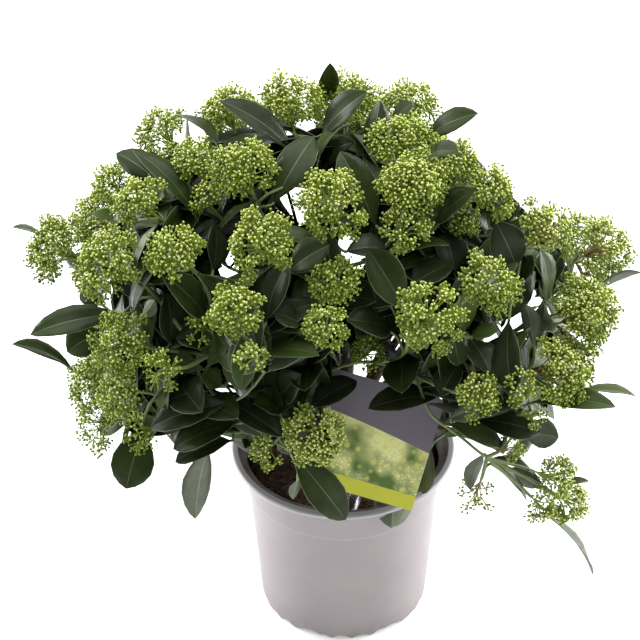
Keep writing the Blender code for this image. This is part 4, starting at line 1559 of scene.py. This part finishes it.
def make_pot():
    materials = [
        pot_material("pot_plastic_fine", (0.268, 0.238, 0.246), (0.298, 0.266, 0.273), 0.8),
        # The lip's lighter, bluer grey is painted light on the rounded lip; its plastic is the wall's
        pot_material("pot_lip_lit_plastic", (0.32, 0.31, 0.325), (0.37, 0.36, 0.375), 0.0),
        # The inside of the wall is a dark brown, near the peat's colour
        mottled("pot_inside_dark_plastic", (0.12, 0.10, 0.095), (0.04, 0.026, 0.02), 70.0, (0.5, 0.8), 0.15,
                500.0),
    ]
    profile, kinds = pot_profile()
    settle(turned_object("pot_body", profile, POT_SIDES, materials, kinds, uneven_foot), "pot_plastic", "pot")


# Peat, in millimetres

PEAT_TOP = 127.0
PEAT_SIDES = 160
PEAT_PROFILE = [
    *((2.6 * i, PEAT_TOP) for i in range(27)),
    (70.4, PEAT_TOP - 0.6), (71.2, PEAT_TOP - 3.0), (70.6, 109.0), (63.6, 30.0), (61.2, 7.0), (0.0, 7.0),
]
PEAT_BUMPS = ((0.11, 1.6), (0.35, 1.1), (1.1, 0.5))   # how fine and how high
BUMPY_DEPTH = 4.0
FIBRE_LENGTH = 6.0
FIBRE_RADIUS = 0.22
FIBRE_BEND = 0.8
FIBRE_RISE = 0.5
LUMP_RADIUS = 1.1


def uneven_peat(angle, radius, height):
    if height > PEAT_TOP - BUMPY_DEPTH:
        at = Vector((radius * math.cos(angle), radius * math.sin(angle), 0.0))
        height += sum(noise.noise(at * fine) * high for fine, high in PEAT_BUMPS)
    return radius, height


def fibre_pattern():
    # A thin bent splinter of three sides
    vertices, faces = [], []
    for step in range(4):
        share = step / 3.0
        for side in range(3):
            angle = math.tau * side / 3.0
            vertices.append(((share - 0.5) * FIBRE_LENGTH * MM,
                             math.cos(angle) * FIBRE_RADIUS * MM + share * share * FIBRE_BEND * MM,
                             math.sin(angle) * FIBRE_RADIUS * MM + FIBRE_RISE * MM))
    for low in (0, 3, 6):
        high = low + 3
        for side in range(3):
            nxt = (side + 1) % 3
            faces.append((low + side, high + side, high + nxt, low + nxt))
    return mesh_object("fibre_pattern", vertices, [*faces, (0, 1, 2), (11, 10, 9)], [], smooth=False)


def lump_pattern():
    # An uneven crumb of twenty faces
    shape = bmesh.new()
    bmesh.ops.create_icosphere(shape, subdivisions=1, radius=LUMP_RADIUS * MM)
    for vertex in shape.verts:
        vertex.co *= 1.0 + 0.4 * noise.noise(vertex.co * 1500.0)
        vertex.co.z *= 0.7
    vertices = [v.co.copy() for v in shape.verts]
    faces = [tuple(v.index for v in face.verts) for face in shape.faces]
    shape.free()
    return mesh_object("lump_pattern", vertices, faces, [], smooth=False)


def make_soil():
    peat = mottled("peat_crumb", (0.020, 0.010, 0.006), (0.085, 0.038, 0.018), 420.0, (0.85, 1.0), 1.0, 700.0)
    brown = mottled("peat_fibre", (0.12, 0.055, 0.022), (0.24, 0.12, 0.05), 300.0, (0.7, 0.9), 0.1, 800.0)
    dark = mottled("peat_lump", (0.015, 0.008, 0.005), (0.05, 0.022, 0.012), 300.0, (0.85, 1.0), 0.3, 900.0)
    soil = turned_object("peat_ball", PEAT_PROFILE, PEAT_SIDES, [peat], None, uneven_peat)
    fibre, lump = fibre_pattern(), lump_pattern()
    for name, thing, material, density, smallest, largest, seed in (
            ("peat_fibres", fibre, brown, 30000.0, 0.4, 1.2, 3),
            ("peat_lumps", lump, dark, 60000.0, 0.4, 1.6, 5),
            ("peat_chips", lump, brown, 30000.0, 0.3, 1.0, 8)):
        source = new_object(name + "_source", soil.data.copy())
        settle(grown(name, source, STREWN, smooth=False, Thing=thing, Density=density, Smallest=smallest,
                     Largest=largest, Seed=seed, Material=material), "peat")
    bpy.data.objects.remove(fibre)
    bpy.data.objects.remove(lump)
    settle(soil, "peat", "soil")


# Plant label, a printed card on a clear stake, in millimetres

CARD_WIDTH = 87.0
CARD_HEIGHT = 86.0
CARD_FOOT = Vector((10.0, -73.0, 153.0))
CARD_ROLL = 16.0
CARD_LEAN = 25.0
CARD_BOW = 1.5
CARD_THICKNESS = 0.6
CARD_CELLS = 24
STAKE_WIDTH = 12.0
STAKE_BEND = 46.0
STAKE_BOTTOM = 101.0
STAKE_TOP = Vector((0.0, 0.6, 8.0))       # on the back of the card, from the middle of its foot
STAKE_AT_FOOT = Vector((0.0, 0.5, 0.0))
# The print: colours, and places as shares of the card's height
FIELD_RAMP = ((0.48, (0.10, 0.18, 0.045, 1)), (0.74, (0.80, 0.81, 0.34, 1)))
FIELD_PALER_UP = 0.35
BLOTCH_YELLOW = (0.70, 0.68, 0.16, 1)
SPECK_YELLOW = (0.92, 0.90, 0.50, 1)
BAND_GREY = (0.17, 0.155, 0.19, 1)
BAND_FROM = 0.66
BAND_FALL = 0.14              # how far the band's edge comes down towards the right
BAND_CURVE = 1.4
STRIP_YELLOW = (0.58, 0.60, 0.06, 1)
STRIP_TO = 0.13


def card_turn():
    lean = Euler((math.radians(-CARD_LEAN), 0.0, 0.0)).to_matrix()
    roll = Euler((0.0, math.radians(CARD_ROLL), 0.0)).to_matrix()
    return lean @ roll


def spots(tree, uv, scale, randomness):
    # Distances from the middles of scattered spots
    return add_node(tree, "ShaderNodeTexVoronoi", {
        "Scale": scale, "Randomness": randomness, "Vector": uv}).outputs["Distance"]


def card_print():
    # A plain grey band above and a yellow strip below, and between them a green field, paler towards
    # the top, with yellow blotches and specks, all on the card's own UV map
    material, shader = new_material("card_print", Roughness=0.32)
    tree = material.node_tree
    uv = add_node(tree, "ShaderNodeUVMap", uv_map="card").outputs["UV"]
    parts = add_node(tree, "ShaderNodeSeparateXYZ", {"Vector": uv})
    across, up = parts.outputs["X"], parts.outputs["Y"]
    ground = add_node(tree, "ShaderNodeTexNoise", {"Scale": 3.2, "Detail": 2.0, "Vector": uv}).outputs["Fac"]
    field = add_node(tree, "ShaderNodeValToRGB", {
        "Fac": computed(tree, "MULTIPLY_ADD", up, FIELD_PALER_UP, ground)})
    for stop, (position, tone) in zip(field.color_ramp.elements, FIELD_RAMP):
        stop.position = position
        stop.color = tone
    blotches = ranged(tree, spots(tree, uv, 13.0, 0.55), 0.40, 0.22, 0.75)
    colour = mixed(tree, blotches, field.outputs["Color"], BLOTCH_YELLOW)
    specks = ranged(tree, spots(tree, uv, 42.0, 0.8), 0.40, 0.28)
    crowd = ranged(tree, ground, 0.44, 0.56)
    colour = mixed(tree, computed(tree, "MULTIPLY", specks, crowd), colour, SPECK_YELLOW)
    fall = computed(tree, "MULTIPLY", computed(tree, "POWER", across, BAND_CURVE), BAND_FALL)
    band = computed(tree, "GREATER_THAN", computed(tree, "ADD", up, fall), BAND_FROM)
    colour = mixed(tree, band, colour, BAND_GREY)
    colour = mixed(tree, computed(tree, "LESS_THAN", up, STRIP_TO), colour, STRIP_YELLOW)
    link_all(tree, shader, Base_Color=colour)
    return material


def thicken(piece, back_material=0):
    solid = piece.modifiers.new("thickness", "SOLIDIFY")
    solid.thickness = CARD_THICKNESS * MM
    solid.offset = 0.0
    solid.material_offset = back_material
    solid.material_offset_rim = back_material


def make_card(turn):
    face_print = card_print()
    plain_back = mottled("card_back", (0.62, 0.62, 0.60), (0.68, 0.68, 0.66), 60.0, (0.3, 0.4), 0.02, 300.0)
    shape = bmesh.new()
    uv_layer = shape.loops.layers.uv.new("card")
    grid = []
    for row in range(CARD_CELLS + 1):
        line = []
        for column in range(CARD_CELLS + 1):
            u, v = column / CARD_CELLS, row / CARD_CELLS
            bow = CARD_BOW * (4.0 * u * (1.0 - u) - 0.5) * (0.4 + 0.6 * v)
            local = Vector(((u - 0.5) * CARD_WIDTH, -bow, v * CARD_HEIGHT))
            line.append((shape.verts.new((CARD_FOOT + turn @ local) * MM), (u, v)))
        grid.append(line)
    for low, high in zip(grid, grid[1:]):
        for column in range(CARD_CELLS):
            corners = (low[column], low[column + 1], high[column + 1], high[column])
            face = shape.faces.new([corner for corner, _ in corners])
            for loop, (_, uv) in zip(face.loops, corners):
                loop[uv_layer].uv = uv
    card = shape_object("plant_label_card", shape, [face_print, plain_back], smooth=False)
    thicken(card, back_material=1)
    settle(card, "label_card", "label")


def make_stake(turn):
    clear, _ = new_material("stake_clear", Base_Color=(0.50, 0.50, 0.54, 1), Roughness=0.25,
                            Transmission_Weight=1.0, IOR=1.45)
    stake_turn = Euler((math.radians(STAKE_BEND), 0.0, 0.0)).to_matrix()
    down = turn @ stake_turn @ Vector((0.0, 0.0, -1.0))
    side = turn @ Vector((1.0, 0.0, 0.0))
    top = CARD_FOOT + turn @ STAKE_TOP
    bend = CARD_FOOT + turn @ STAKE_AT_FOOT
    low = bend + down * ((bend.z - STAKE_BOTTOM) / -down.z)
    shape = bmesh.new()
    pairs = [[shape.verts.new((place + side * s * STAKE_WIDTH / 2.0) * MM) for s in (-1.0, 1.0)]
             for place in (top, bend, low)]
    for above, below in zip(pairs, pairs[1:]):
        shape.faces.new((above[0], below[0], below[1], above[1]))
    stake = shape_object("plant_label_stake", shape, [clear])
    thicken(stake)
    settle(stake, "label_card")


# Studio: pale floor, soft lights and the camera, in metres

# Name, place, what it points at, size and power
LIGHTS = (
    ("key", (0.4, 0.1, 1.9), (0.0, 0.0, 0.25), 0.9, 16.0),
    ("left", (-1.3, 0.45, 0.5), (0.0, 0.0, 0.15), 0.8, 27.0),
    ("right", (1.3, 0.45, 0.5), (0.0, 0.0, 0.15), 0.8, 30.0),
    ("top", (-0.5, 0.4, 1.8), (0.0, 0.0, 0.3), 1.2, 14.0),
)
FLOOR_SIZE = 6.0
SKY_DIM = 0.06                # strength of the sky in front of the plant, and behind it
SKY_BRIGHT = 1.2


def area_light(name, place, aim, size, power):
    data = bpy.data.lights.new(name, "AREA")
    data.shape = "SQUARE"
    data.size = size
    data.energy = power
    lamp = new_object(name, data)
    lamp.location = place
    lamp.rotation_euler = (Vector(aim) - Vector(place)).to_track_quat("-Z", "Y").to_euler()


def make_sky():
    world = bpy.data.worlds.new("studio")
    world.use_nodes = True
    tree = world.node_tree
    sky = tree.nodes["Background"]
    sky.inputs["Color"].default_value = (1, 1, 1, 1)
    way = add_node(tree, "ShaderNodeTexCoord")
    parts = add_node(tree, "ShaderNodeSeparateXYZ", {"Vector": way.outputs["Generated"]})
    strength = add_node(tree, "ShaderNodeMapRange", {
        "Value": parts.outputs["Y"], "From Min": -1.0, "From Max": 0.0, "To Min": SKY_DIM,
        "To Max": SKY_BRIGHT})
    link_all(tree, sky, Strength=strength.outputs["Result"])
    bpy.context.scene.world = world


def make_floor():
    white, _ = new_material("floor_white", Roughness=0.9, Base_Color=(0.93, 0.93, 0.93, 1),
                            Emission_Color=(1, 1, 1, 1), Emission_Strength=0.25)
    corners = [(x * FLOOR_SIZE, y * FLOOR_SIZE, 0) for x, y in ((-1, -1), (1, -1), (1, 1), (-1, 1))]
    mesh_object("floor", corners, [(0, 1, 2, 3)], [white], smooth=False)


def make_camera():
    data = bpy.data.cameras.new("camera")
    data.sensor_width = SENSOR_WIDTH
    data.lens = FOCAL_PIXELS / IMAGE_SIZE * SENSOR_WIDTH
    data.clip_start = 0.05
    camera = new_object("camera", data)
    turn = Matrix((RIGHT, -DOWN, -AHEAD)).transposed()
    camera.matrix_world = Matrix.Translation(CAMERA_PLACE) @ turn.to_4x4()
    bpy.context.scene.camera = camera


def make_studio():
    bpy.context.scene.view_settings.view_transform = "Standard"
    make_sky()
    for light in LIGHTS:
        area_light(*light)
    make_floor()
    make_camera()


def main():
    make_studio()
    heads = head_list()
    boughs, limbs = grow_shoots(heads)
    make_wood(boughs)
    shoots = [(limb["points"], limb["radii"]) for limb in limbs[len(boughs):]]
    settle(tubes("green_shoots", shoots, 7, GREEN_WOOD), "green_wood")
    make_flowers(heads)
    leaves = grow_leaves(heads, boughs, limbs)
    masses = {"front": [], "back": []}
    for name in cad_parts:
        if name.startswith("mass_"):
            low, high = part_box(name)
            masses[front_or_back(low + high)].append(name)
    for side, group in leaves.items():
        settle(leaf_mesh("leaves_" + side, group), "foliage", *masses[side])
    make_pot()
    make_soil()
    turn = card_turn()
    make_card(turn)
    make_stake(turn)


main()
